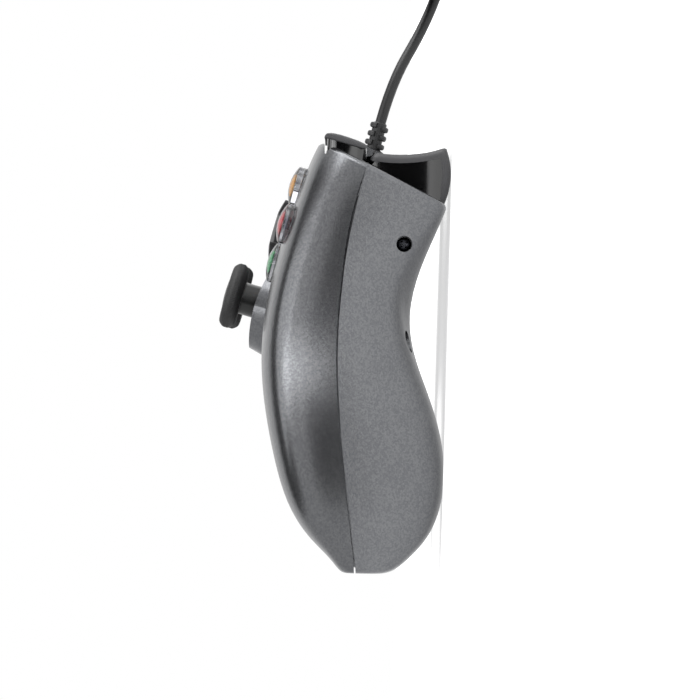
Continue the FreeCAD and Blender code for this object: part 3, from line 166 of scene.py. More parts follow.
# ABS from a spark-eroded mould: an even satin that breaks highlights up.
SATIN_ABS = Finish("abs_spark_eroded", "#4a4a4c", "#434345", 0.5, Pattern.GRAIN, 0.3, 0.14)
# The same from a finer mould, as on small keys.
FINE_ABS = Finish("abs_fine_satin", "#2e2e30", "#28282a", 0.42, Pattern.GRAIN, 0.22, 0.08)
# Acrylic from a polished mould: clear, with bright rims where it bends light.
CLEAR_ACRYLIC = Finish(
    "acrylic_polished_clear", "#dcdde2", "#dcdde2", 0.02, ior=1.49, transmission=1.0, roughness_swing=0.01
)
# Acrylic from a grained mould: milky windows for the lamps under them.
FROSTED_ACRYLIC = Finish(
    "acrylic_frosted", "#e8ecf2", "#dfe4ec", 0.42, Pattern.GRAIN, 0.3, 0.05, ior=1.49, transmission=0.75
)
# Compression-moulded silicone: dull and slightly uneven.
MOULDED_SILICONE = Finish("silicone_moulded", "#77797c", "#6c6e71", 0.6, Pattern.GRAIN, 0.5, 0.05)
# Overmoulded thumb rubber: nearly black and matt, with a soft bloom at grazing angles.
THUMB_RUBBER = Finish(
    "rubber_overmoulded", "#1e1e1f", "#171718", 0.6, Pattern.GRAIN, 0.28, 0.22,
    sheen=0.08, roughness_swing=0.07,
)
# Extruded PVC: a faint orange-peel skin with a low gloss.
CORD_PVC = Finish("pvc_extruded", "#1b1b1c", "#151516", 0.42, Pattern.GRAIN, 0.5, 0.06)
# PVC from a grained mould, as on plugs and strain reliefs: duller than the cord.
MOULDED_PVC = Finish("pvc_moulded", "#2a2a2b", "#232324", 0.48, Pattern.GRAIN, 0.35, 0.12)
# Woven nylon tape: dull, with threads about 0.5 mm apart.
WOVEN_NYLON = Finish("nylon_woven", "#1c1c1e", "#121213", 0.8, Pattern.WOVEN, 0.5, 0.6, sheen=0.25)
# Deep-drawn steel with a nickel plate: bright, with faint drawing lines.
NICKEL_STEEL = Finish(
    "steel_nickel_plated", "#c9c8c4", "#b6b5b1", 0.2, Pattern.BRUSHED, 0.4, 0.05, metallic=1.0
)
# Copper contacts with a gold flash: smooth and warm.
GOLD_CONTACT = Finish(
    "copper_gold_flashed", "#d9ae55", "#c99a3f", 0.22, Pattern.BRUSHED, 0.15, 0.04, metallic=1.0
)
# Cold-headed steel with black zinc: dark metal, dulled by the bath.
BLACK_ZINC = Finish("steel_black_zinc", "#55565a", "#43444a", 0.32, Pattern.BRUSHED, 0.3, 0.08, metallic=1.0)
# Turned steel with clear zinc, as on pins and springs.
CLEAR_ZINC = Finish("steel_clear_zinc", "#a5a6aa", "#8b8c92", 0.3, Pattern.BRUSHED, 0.3, 0.06, metallic=1.0)
# Glass-epoxy board under lacquer: green, with an even gloss.
LACQUERED_BOARD = Finish("epoxy_lacquered", "#1e5a38", "#17482c", 0.3, Pattern.GRAIN, 0.8, 0.05)
# Smoked ABS under the clear domes: dark, half glossy, with a tint of each button's colour.
CORES = {
    tint: Finish(f"abs_smoked_{tint}", *colours, 0.3, Pattern.GRAIN, 0.25, 0.04)
    for tint, colours in {
        "amber": ("#3d3323", "#352c1e"), "red": ("#5a131f", "#4b0e19"),
        "green": ("#26362d", "#202e26"), "blue": ("#1d2660", "#192152"),
    }.items()
}
# Pad-printed enamel spots on the cores: flat bright colour with a slight unevenness.
SPOTS = {
    tint: Finish(f"enamel_{tint}", *colours, 0.35, Pattern.GRAIN, 0.4, 0.04)
    for tint, colours in {
        "amber": ("#d9971f", "#cf8c16"), "red": ("#c8202f", "#bb1a28"),
        "green": ("#26a05c", "#1f9252"), "blue": ("#2a3fe0", "#2437cc"),
    }.items()
}

SLOT_FINISHES = {
    "shell": FLAKE_PAINT,
    "gloss_black": POLISHED_ABS,
    "matte_black": SATIN_ABS,
    "clear_acrylic": CLEAR_ACRYLIC,
    **{f"core_{tint}": finish for tint, finish in CORES.items()},
    "dpad": FINE_ABS,
    "menu_key": FINE_ABS,
    "light_pipe": FROSTED_ACRYLIC,
    "stick_rubber": THUMB_RUBBER,
    "cord_rubber": CORD_PVC,
    "silicone": MOULDED_SILICONE,
    "plug_plastic": MOULDED_PVC,
    "plug_steel": NICKEL_STEEL,
    "steel": CLEAR_ZINC,
    "circuit_board": LACQUERED_BOARD,
    "inner_plastic": SATIN_ABS,
}


def add_node(tree: Tree, kind: str, inputs: dict | None = None, **settings) -> bpy.types.Node:
    """Adds a shader node.

    Args:
        tree: The node tree.
        kind: The node's type name without its ShaderNode prefix.
        inputs: Socket name or number to value, or to another node's output socket to link.
        **settings: Node properties.

    Returns:
        The new node.
    """
    node = tree.nodes.new("ShaderNode" + kind)
    for name, value in settings.items():
        setattr(node, name, value)
    for name, value in (inputs or {}).items():
        if isinstance(value, Socket):
            tree.links.new(value, node.inputs[name])
        else:
            node.inputs[name].default_value = value
    return node


def emptied(owner: bpy.types.Material | bpy.types.World) -> Tree:
    """The node tree of a material or a world, with nothing in it.

    Args:
        owner: The material or world.

    Returns:
        Its node tree.
    """
    owner.use_nodes = True
    owner.node_tree.nodes.clear()
    return owner.node_tree


@dataclass
class Surface:
    """Builds the node material of one finish."""

    finish: Finish
    patch_detail: float = 3.0
    patch_roughness: float = 0.55
    grain_detail: float = 2.0
    bump_share: float = 0.4
    flake_swing: float = 1.2
    brush_stretch: float = 0.04
    waves_to_scale: float = math.pi / 10

    def __post_init__(self) -> None:
        """Starts the material with the place that its textures take."""
        self.material = bpy.data.materials.new(self.finish.name)
        self.tree = emptied(self.material)
        self.place = add_node(self.tree, "TexCoord").outputs["Object"]
        self.scale = 1 / (self.finish.pattern_mm * MM)

    def build(self) -> bpy.types.Material:
        """Adds the shader with its colour, wear and relief.

        Returns:
            The finished material.
        """
        finish = self.finish
        tree = self.tree
        patches = add_node(tree, "TexNoise", {
            "Vector": self.place,
            "Scale": 1 / (finish.patch_mm * MM),
            "Detail": self.patch_detail,
            "Roughness": self.patch_roughness,
        }).outputs["Fac"]
        worn = add_node(tree, "MapRange", {
            "Value": patches,
            "To Min": max(0.0, finish.roughness - finish.roughness_swing),
            "To Max": finish.roughness + finish.roughness_swing,
        })
        colour = linear(finish.colour)
        if finish.second_colour != finish.colour:
            sparkling = finish.pattern is Pattern.SPARKLE
            colour = add_node(tree, "MixRGB", {
                "Fac": self.sparkle(patches) if sparkling else patches,
                "Color1": colour,
                "Color2": linear(finish.second_colour),
            }).outputs["Color"]
        shader = add_node(tree, "BsdfPrincipled", {
            "Base Color": colour,
            "Roughness": worn.outputs["Result"],
            "Metallic": finish.metallic,
            "IOR": finish.ior,
            "Transmission Weight": finish.transmission,
            "Coat Weight": finish.coat,
            "Coat Roughness": finish.coat_roughness,
            "Sheen Weight": finish.sheen,
        })
        if finish.pattern is not Pattern.NONE:
            bump = add_node(tree, "Bump", {
                "Height": self.relief(),
                "Strength": finish.relief,
                "Distance": finish.pattern_mm * MM * self.bump_share,
            })
            tree.links.new(bump.outputs["Normal"], shader.inputs["Normal"])
        add_node(tree, "OutputMaterial", {"Surface": shader.outputs["BSDF"]})
        return self.material

    def sparkle(self, patches: Socket) -> Socket:
        """Adds lighter and darker single flakes to a slow change of tone.

        Args:
            patches: The slow change of tone, 0 to 1.

        Returns:
            The socket that carries both.
        """
        flakes = add_node(self.tree, "TexVoronoi", {"Vector": self.place, "Scale": self.scale})
        spread = add_node(self.tree, "MapRange", {
            "Value": flakes.outputs["Color"], "To Min": -self.flake_swing, "To Max": self.flake_swing,
        }, clamp=False)
        both = add_node(self.tree, "Math", {0: patches, 1: spread.outputs["Result"]}, operation="ADD")
        return both.outputs["Value"]

    def relief(self) -> Socket:
        """Adds the height of the finish's small relief.

        Returns:
            The socket that carries it.
        """
        if self.finish.pattern is Pattern.WOVEN:
            return self.weave()
        place = self.place
        if self.finish.pattern is Pattern.BRUSHED:
            stretch = (1.0, self.brush_stretch, 1.0)
            place = add_node(self.tree, "Mapping", {"Vector": place, "Scale": stretch}).outputs["Vector"]
        inputs = {"Vector": place, "Scale": self.scale, "Detail": self.grain_detail}
        return add_node(self.tree, "TexNoise", inputs).outputs["Fac"]

    def weave(self) -> Socket:
        """Adds the height of a plain weave.

        Returns:
            The socket that carries it.
        """
        inputs = {"Vector": self.place, "Scale": self.scale * self.waves_to_scale}
        threads = {}
        for index, direction in enumerate("XZ"):
            wave = add_node(self.tree, "TexWave", inputs, bands_direction=direction)
            threads[index] = wave.outputs["Fac"]
        return add_node(self.tree, "Math", threads, operation="MAXIMUM").outputs["Value"]


@dataclass
class Finisher:
    """Makes each finish's node material once and hands it out."""

    made: dict[str, bpy.types.Material] = field(default_factory=dict)

    def dress(self, piece: Piece, finish: Finish) -> None:
        """Gives a piece one finish, whose material is built on first use.

        Args:
            piece: The object.
            finish: Its finish.
        """
        if finish.name not in self.made:
            self.made[finish.name] = Surface(finish).build()
        material = self.made[finish.name]
        if piece.material_slots:
            for slot in piece.material_slots:
                slot.material = material
        else:
            piece.data.materials.append(material)


@dataclass
class Assembly:
    """A sub-assembly, with what gives its pieces their finishes."""

    finisher: Finisher

    def set_piece(
        self, mesh: Mesh, place: Matrix, finish: Finish, slot: str, body: str, node: str = ""
    ) -> Piece:
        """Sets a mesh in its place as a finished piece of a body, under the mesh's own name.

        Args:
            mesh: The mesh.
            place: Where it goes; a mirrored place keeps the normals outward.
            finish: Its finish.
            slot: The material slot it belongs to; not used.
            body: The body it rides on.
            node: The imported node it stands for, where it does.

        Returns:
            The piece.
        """
        mesh.transform(Matrix.Scale(MM, 4) @ place)
        if place.determinant() < 0:
            mesh.flip_normals()
        piece = linked(mesh.name, mesh)
        self.finisher.dress(piece, finish)
        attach(piece, body)
        if node:
            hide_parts(node)
        LOG.info("set %s on %s", piece.name, body)
        return piece


@dataclass
class SideAssembly(Assembly):
    """One of a pair of sub-assemblies that mirror each other."""

    side: Side

    def mirror(self) -> Matrix:
        """Takes what is drawn for the right side to this one."""
        return Matrix.Diagonal((self.side.value, 1.0, 1.0, 1.0))

    def at_stick(self, up: float = 0.0) -> Matrix:
        """The place of a piece round this side's thumbstick, shifted up the face by a distance."""
        return on_face(self.side.value * STICK_X, STICK_UP + up)


def linked(name: str, data: bpy.types.ID) -> Piece:
    """Puts a mesh, a curve, a lamp or a camera into the scene as an object.

    Args:
        name: The object's name.
        data: What it shows.

    Returns:
        The object.
    """
    piece = bpy.data.objects.new(name, data)
    bpy.context.scene.collection.objects.link(piece)
    return piece


def add_skin(form: bmesh.types.BMesh, rings: list[list[Vector]], looped: bool = False) -> None:
    """Adds a closed skin over rings of points to a form.

    Args:
        form: The form.
        rings: Rings with the same number of points each.
        looped: Whether the last ring joins the first; otherwise the ends are filled.
    """
    rows = [[form.verts.new(point) for point in ring] for ring in rings]
    pairs = list(zip(rows, rows[1:]))
    if looped:
        pairs.append((rows[-1], rows[0]))
    count = len(rings[0])
    for here, there in pairs:
        for index in range(count):
            after = (index + 1) % count
            form.faces.new((here[index], here[after], there[after], there[index]))
    if not looped:
        form.faces.new(list(reversed(rows[0])))
        form.faces.new(rows[-1])


def skinned(
    name: str, rings: list[list[Vector]], looped: bool = False, crease: float = 32.0
) -> Mesh:
    """A closed skin over rings of points, smooth except at its creases.

    Args:
        name: The mesh's name.
        rings: Rings with the same number of points each.
        looped: Whether the last ring joins the first; otherwise the ends are filled.
        crease: The angle past which an edge stays sharp, in degrees.

    Returns:
        The mesh.
    """
    form = bmesh.new()
    add_skin(form, rings, looped)
    bmesh.ops.remove_doubles(form, verts=form.verts, dist=WELD)
    bmesh.ops.dissolve_degenerate(form, edges=form.edges, dist=WELD)
    bmesh.ops.recalc_face_normals(form, faces=form.faces)
    return baked(name, form, crease)


def baked(name: str, form: bmesh.types.BMesh, crease: float) -> Mesh:
    """Turns an editable form into a mesh and frees the form.

    Args:
        name: The mesh's name.
        form: The form.
        crease: The angle past which an edge stays sharp, in degrees.

    Returns:
        The mesh.
    """
    mesh = bpy.data.meshes.new(name)
    form.to_mesh(mesh)
    form.free()
    smoothed(mesh, crease)
    return mesh


def smoothed(mesh: Mesh, crease: float) -> None:
    """Shades a mesh smooth, with sharp edges past an angle in degrees."""
    mesh.shade_smooth()
    mesh.set_sharp_from_angle(angle=math.radians(crease))


def circle(radius: float, height: float, count: int) -> list[Vector]:
    """A ring of points about the Z axis."""
    turns = [2 * math.pi * index / count for index in range(count)]
    return [Vector((radius * math.cos(turn), radius * math.sin(turn), height)) for turn in turns]


def revolved(
    name: str, outline: list[Pair], count: int, looped: bool = False, crease: float = 32.0
) -> Mesh:
    """A closed skin turned about the Z axis, from the radius and height of each of its rings."""
    return skinned(name, [circle(radius, height, count) for radius, height in outline], looped, crease)


def arc_points(centre: Pair, radius: float, start: float, end: float, count: int) -> list[Pair]:
    """Points along a flat arc, both ends included.

    Args:
        centre: Its centre.
        radius: Its radius.
        start: The angle it starts at, in degrees.
        end: The angle it ends at, in degrees.
        count: How many steps it has.

    Returns:
        The points.
    """
    points = []
    for index in range(count + 1):
        angle = math.radians(start + (end - start) * index / count)
        points.append((centre[0] + radius * math.cos(angle), centre[1] + radius * math.sin(angle)))
    return points


def rounded_box(name: str, low: Vector, high: Vector, radius: float) -> Mesh:
    """A box with all its edges rounded.

    Args:
        name: The mesh's name.
        low: Its lowest corner.
        high: Its highest corner.
        radius: The radius of its edges.

    Returns:
        The mesh.
    """
    form = bmesh.new()
    bmesh.ops.create_cube(form, size=1.0)
    for spot in form.verts:
        spot.co = spot.co * (high - low) + (high + low) / 2
    bmesh.ops.bevel(form, geom=form.edges[:], offset=radius, segments=3, profile=0.5, affect="EDGES")
    return baked(name, form, 40.0)


def carved(piece: Piece, cutter: Piece) -> Mesh:
    """Cuts one object out of another and deletes both.

    Args:
        piece: What is cut.
        cutter: The shape of the cut.

    Returns:
        The mesh that is left.
    """
    cut = piece.modifiers.new("recess", "BOOLEAN")
    cut.object = cutter
    cut.operation = "DIFFERENCE"
    cut.solver = "EXACT"
    bpy.context.view_layer.update()
    graph = bpy.context.evaluated_depsgraph_get()
    mesh = bpy.data.meshes.new_from_object(piece.evaluated_get(graph))
    bpy.data.objects.remove(piece)
    bpy.data.objects.remove(cutter)
    return mesh


@dataclass
class Moulding(Assembly):
    """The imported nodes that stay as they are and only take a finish."""

    def dress(self) -> None:
        """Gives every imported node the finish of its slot."""
        slots = {part["node"]: part["material_slot"] for part in frame["record"]["subparts"]}
        for name, node in frame["nodes"].items():
            stem = name.endswith("_stick_stem")
            self.finisher.dress(node, MOULDED_ABS if stem else SLOT_FINISHES[slots[name]])
        LOG.info("finished %d packed nodes", len(slots))


@dataclass
class Screws(Assembly):
    """Cross-recessed screws: five from behind that hold the shells, and one in each side hole."""

    head_radius: float = 2.5
    side_head_radius: float = 1.8
    dome_share: float = 0.72
    shank_share: float = 0.5
    shank_length: float = 3.5
    arm_share: float = 0.62
    slot_share: float = 0.13
    segments: int = 40
    middle: Triple = (0.0, 2.0, 19.6)
    grip: Triple = (59.0, -41.0, 15.35)
    palm: Triple = (67.0, 3.0, 19.6)
    side_hole: Triple = (68.0, 26.6, 11.1)
    side_turn: Triple = (0.0, 0.8, 0.6)

    def mesh(self, radius: float) -> Mesh:
        """One screw about the Z axis, its head up and its seat at zero.

        Args:
            radius: The head's radius.

        Returns:
            The mesh.
        """
        height = radius * self.dome_share
        dome = [(0.0, 1.0), (0.45, 0.98), (0.75, 0.85), (0.93, 0.6), (1.0, 0.3)]
        outline = [(radius * out, height * up) for out, up in dome]
        shank = radius * self.shank_share
        outline += [(radius, 0.05), (radius * 0.97, 0.0), (shank, 0.0)]
        outline += [(shank, -self.shank_length), (0.0, -self.shank_length)]
        arm = radius * self.arm_share
        slot = radius * self.slot_share
        cross = []
        for quarter in range(4):
            turn = Matrix.Rotation(math.radians(90 * quarter), 3, "Z")
            cross += [turn @ Vector(corner) for corner in ((arm, -slot, 0), (arm, slot, 0), (slot, slot, 0))]
        # The cutter narrows from above the head down to the floor of the recess.
        rings = []
        for scale, level in ((1.25, height + 0.6), (0.55, height * 0.3)):
            rings.append([Vector((point.x * scale, point.y * scale, level)) for point in cross])
        head = linked("head", revolved("head", outline, self.segments))
        mesh = carved(head, linked("cross", skinned("cross", rings)))
        smoothed(mesh, 30.0)
        return mesh

    def places(self) -> dict[str, tuple[Matrix, float]]:
        """Finds where each screw goes.

        Returns:
            Each screw's name, with its place and its head's radius.
        """
        down = Vector((0, 0, -1))
        made = {"middle_screw": (standing(Vector(self.middle), down, X_AXIS), self.head_radius)}
        for side in Side:
            mirror = Vector((side.value, 1, 1))
            for part, spot in (("grip", self.grip), ("palm", self.palm)):
                place = standing(Vector(spot) * mirror, down, X_AXIS)
                made[side.named(part + "_screw")] = (place, self.head_radius)
            outward = X_AXIS * side.value
            place = standing(Vector(self.side_hole) * mirror, outward, Vector(self.side_turn))
            made[side.named("side_screw")] = (place, self.side_head_radius)
        return made

    def build(self) -> None:
        """Makes every screw."""
        meshes = {radius: self.mesh(radius) for radius in (self.head_radius, self.side_head_radius)}
        for name, (place, radius) in self.places().items():
            mesh = meshes[radius].copy()
            mesh.name = name
            self.set_piece(mesh, place, BLACK_ZINC, "steel", "pad")


@dataclass
class Trigger(SideAssembly):
    """One trigger: a matt finger band with rounded edges on two polished, slightly crowned cheeks."""

    inner_x: float = 27.0
    outer_x: float = 66.0
    pin_y: float = 43.7
    pin_z: float = 17.8
    reach: float = 17.7
    heel_end: float = -127.0
    heel_root: float = -113.0
    toe_angle: float = -70.5
    band: float = 2.1
    heel_thick: float = 1.3
    thinning_turn: float = 12.0
    thinning_run: float = 10.0
    edge_radius: float = 1.5
    edge_share: float = 0.8
    set_back: float = 0.25
    barrel: float = 2.5
    toe: Pair = (50.4, 1.45)
    toe_inside: Pair = (47.8, 2.75)
    cheek: float = 1.7
    cheek_root_share: float = 0.6
    cheek_top: int = 20
    crown_z: float = 5.0
    crown_bend: float = 0.0042

    def outline(self) -> list[Pair]:
        """Runs from the crest down the finger face, round the toe and along the sole.

        Returns:
            The points (Y, Z) of the outline.
        """
        crest = [(47.1, 19.85), (47.85, 19.5), (48.4, 18.9)]
        finger = [(48.75, 17.9), (48.6, 16.3), (48.5, 14.6), (48.5, 12.6), (48.6, 10.6), (48.85, 8.4)]
        finger += [(49.2, 6.2), (49.75, 4.1), (50.3, 2.4)]
        toe = [(50.42, 1.8), (50.2, 1.3)]
        sole = arc_points((self.pin_y, self.pin_z), self.reach, self.toe_angle, self.heel_end, 22)
        return crest + finger + toe + sole

    def edges(self) -> list[tuple[Pair, Pair]]:
        """Finds the way into the trigger all along its outline.

        Returns:
            Each point of the outline, with the unit direction inward there.
        """
        points = self.outline()
        made = []
        for index, point in enumerate(points):
            before = points[max(index - 1, 0)]
            after = points[min(index + 1, len(points) - 1)]
            run = (after[0] - before[0], after[1] - before[1])
            length = math.hypot(*run)
            made.append((point, (run[1] / length, -run[0] / length)))
        return made

    def turned(self, point: Pair) -> float:
        """The angle of a point about the pin, in degrees."""
        return math.degrees(math.atan2(point[1] - self.pin_z, point[0] - self.pin_y))

    def depth(self, point: Pair) -> float:
        """The band's thickness at a point of the outline: thinner on the free heel."""
        past = self.heel_root + self.thinning_turn - self.turned(point)
        return self.band + (self.heel_thick - self.band) * min(1.0, max(0.0, past / self.thinning_run))

    def sunk(self, point: Pair, inward: Pair, deep: float) -> Pair:
        """A point's place below the outline, mitred towards one point inside the toe.

        Args:
            point: The point of the outline.
            inward: The unit direction into the trigger there.
            deep: How far below the outline.

        Returns:
            The place.
        """
        if math.dist(point, self.toe) < self.band:
            inward = tuple((inside - outside) / self.band for inside, outside in zip(self.toe_inside, point))
        return point[0] + inward[0] * deep, point[1] + inward[1] * deep

    def band_mesh(self) -> Mesh:
        """Makes the matt band with two rounded outer edges.

        Returns:
            The mesh.
        """
        rings = []
        for point, inward in self.edges():
            depth = self.depth(point)
            radius = min(self.edge_radius, depth * self.edge_share)
            section = arc_points((self.inner_x + radius, radius), radius, 180, 270, 6)
            section += arc_points((self.outer_x - radius, radius), radius, 270, 360, 6)
            section += [(self.outer_x, depth), (self.inner_x, depth)]
            rings.append([Vector((x, *self.sunk(point, inward, deep))) for x, deep in section])
        return skinned(self.side.named("trigger_band"), rings)

    def cheek_mesh(self) -> Mesh:
        """Makes the two polished cheeks between the band and the pin.

        Returns:
            The mesh.
        """
        edge = []
        for point, inward in self.edges()[1:]:
            if self.turned(point) >= self.heel_root:
                edge.append(self.sunk(point, inward, self.depth(point) * self.cheek_root_share))
        edge += arc_points((self.pin_y, self.pin_z), self.barrel, 205, 60, 12)
        form = bmesh.new()
        inner = self.inner_x + self.set_back
        outer = self.outer_x - self.set_back
        for low, high in ((inner, inner + self.cheek), (outer - self.cheek, outer)):
            add_skin(form, [[Vector((x, y, z)) for y, z in edge] for x in (low, high)])
        bmesh.ops.recalc_face_normals(form, faces=form.faces)
        # Cuts at every millimetre of height let the cheeks bend to their crown.
        for level in range(1, self.cheek_top):
            parts = form.verts[:] + form.edges[:] + form.faces[:]
            bmesh.ops.bisect_plane(form, geom=parts, dist=0.001, plane_co=(0, 0, level), plane_no=(0, 0, 1))
        middle = (self.inner_x + self.outer_x) / 2
        for spot in form.verts:
            fall = self.crown_bend * (spot.co.z - self.crown_z) ** 2
            spot.co.x += fall if spot.co.x < middle else -fall
        return baked(self.side.named("trigger_cheeks"), form, 20.0)

    def build(self) -> None:
        """Makes both parts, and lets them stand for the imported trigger."""
        body = self.side.named("trigger")
        self.set_piece(self.band_mesh(), self.mirror(), SATIN_ABS, "matte_black", body)
        self.set_piece(self.cheek_mesh(), self.mirror(), POLISHED_ABS, "gloss_black", body, body)


@dataclass
class ThumbCap(SideAssembly):
    """One thumbstick's rubber cap: round-edged, with a fine knurl round its rim."""

    radius: float = 8.3
    under: float = 6.35
    top: float = 10.9
    rim_drop: float = 0.35
    round_steps: int = 14
    groove: float = 0.14
    bore: float = 4.07
    bore_depth: float = 0.6
    knurls: int = 60
    knurl_depth: float = 0.11
    knurl_slant: float = 2.4
    steps_per_knurl: int = 6

    def profile(self) -> list[Triple]:
        """Runs from the bore under the cap round to its crown.

        Returns:
            Radius, height and share of the knurl at each ring.
        """
        middle = (self.under + self.top - self.rim_drop) / 2
        round_radius = middle - self.under
        centre = (self.radius - round_radius, middle)
        made = [(self.bore, self.under + self.bore_depth, 0.0), (self.bore, self.under, 0.0)]
        for index, spot in enumerate(arc_points(centre, round_radius, -90, 90, self.round_steps)):
            made.append((*spot, math.sin(math.pi * index / self.round_steps) ** 0.5))
        rim, level, _ = made[-1]
        floor = level - self.groove
        made += [(rim - 0.5, level, 0.0), (rim - 0.75, floor, 0.0), (rim - 1.1, floor, 0.0)]
        for share in (0.75, 0.5, 0.25, 0.0):
            crown = self.top - (self.top - level + 0.05) * share * share
            made.append(((rim - 1.3) * share, crown, 0.0))
        return made

    def build(self) -> None:
        """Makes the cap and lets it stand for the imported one."""
        rings = []
        for radius, height, share in self.profile():
            ring = []
            lean = height * self.knurl_slant
            for point in circle(radius, height, self.knurls * self.steps_per_knurl):
                turn = math.atan2(point.y, point.x) * self.knurls
                rise = math.cos(turn + lean) * math.cos(turn - lean)
                grown = 1 + self.knurl_depth * share * (rise - 0.5) / max(radius, 1.0)
                ring.append(Vector((point.x * grown, point.y * grown, height)))
            rings.append(ring)
        mesh = skinned(self.side.named("thumb_cap"), rings, crease=50.0)
        body = self.side.named("thumbstick")
        node = self.side.named("stick_cap")
        self.set_piece(mesh, self.at_stick(), THUMB_RUBBER, "stick_rubber", body, node)


@dataclass
class PodApron(SideAssembly):
    """The foot of one stick's raised collar, carried on down to where the shell falls away."""

    offset: float = -1.0
    top: float = -2.9
    foot: float = -8.4
    top_radius: float = 11.56
    foot_radius: float = 12.95
    wall: float = 0.4
    segments: int = 120

    def build(self) -> None:
        """Makes the apron, which is part of the shell it stands on."""
        outer = [(self.top_radius, self.top), (self.foot_radius, self.foot)]
        inner = [(radius - self.wall, level) for radius, level in reversed(outer)]
        mesh = revolved(self.side.named("pod_apron"), outer + inner, self.segments, looped=True)
        self.set_piece(mesh, self.at_stick(self.offset), FLAKE_PAINT, "shell", "pad")


@dataclass
class FaceButton(Assembly):
    """One clear dome, moulded on to its coloured core, and the enamel spot under it."""

    name: str
    radius: float = 4.95
    wall: float = 0.5
    rim: float = 1.25
    rim_inset: float = 0.3
    crown: float = 2.4
    crown_steps: int = 12
    lip: float = 0.35
    lip_drop: float = 0.4
    core_top: float = -1.2
    skirt: float = -3.9
    bond: float = 0.06
    segments: int = 96
    spot_radius: float = 2.4
    spot_thick: float = 0.12
    spot_sunk: float = 0.03
    spot_edge: float = 0.04
    spot_segments: int = 48

    def dome(self) -> list[Pair]:
        """Runs from the crown over the rim and the skirt to the bonded face.

        Returns:
            Radius and height of each ring.
        """
        rim_radius = self.radius - self.rim_inset
        rise = self.crown - self.rim
        bend = (rim_radius ** 2 + rise ** 2) / (2 * rise)
        made = []
        for index in range(self.crown_steps + 1):
            radius = rim_radius * index / self.crown_steps
            made.append((radius, self.crown - bend + math.sqrt(bend ** 2 - radius ** 2)))
        made += arc_points((self.radius - self.lip, self.rim - self.lip_drop), self.lip, 75, 0, 4)
        inner = self.radius - self.wall - self.bond
        made += [(self.radius, self.skirt + 0.1), (self.radius - 0.1, self.skirt), (inner, self.skirt)]
        made += [(inner, self.core_top - self.bond), (0.0, self.core_top - self.bond)]
        return made

    def spot(self) -> list[Pair]:
        """Runs from the enamel spot's middle over its edge and back.

        Returns:
            Radius and height of each ring.
        """
        low = self.core_top - self.spot_sunk
        high = self.core_top + self.spot_thick
        soft = self.spot_edge
        made = [(0.0, high), (self.spot_radius - soft, high), (self.spot_radius, high - soft)]
        return made + [(self.spot_radius, low), (0.0, low)]

    def build(self) -> None:
        """Makes the dome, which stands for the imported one, and its spot."""
        turn = math.radians(BUTTON_TURNS[self.name])
        place = on_face(
            CLUSTER[0] + BUTTON_OFFSET * math.cos(turn), CLUSTER[1] + BUTTON_OFFSET * math.sin(turn)
        )
        body = self.name + "_button"
        dome = revolved(self.name + "_dome", self.dome(), self.segments, crease=40.0)
        self.set_piece(dome, place, CLEAR_ACRYLIC, "clear_acrylic", body, body + "_lens")
        spot = revolved(self.name + "_spot", self.spot(), self.spot_segments)
        tint = BUTTON_TINTS[self.name]
        self.set_piece(spot, place, SPOTS[tint], "core_" + tint, body)


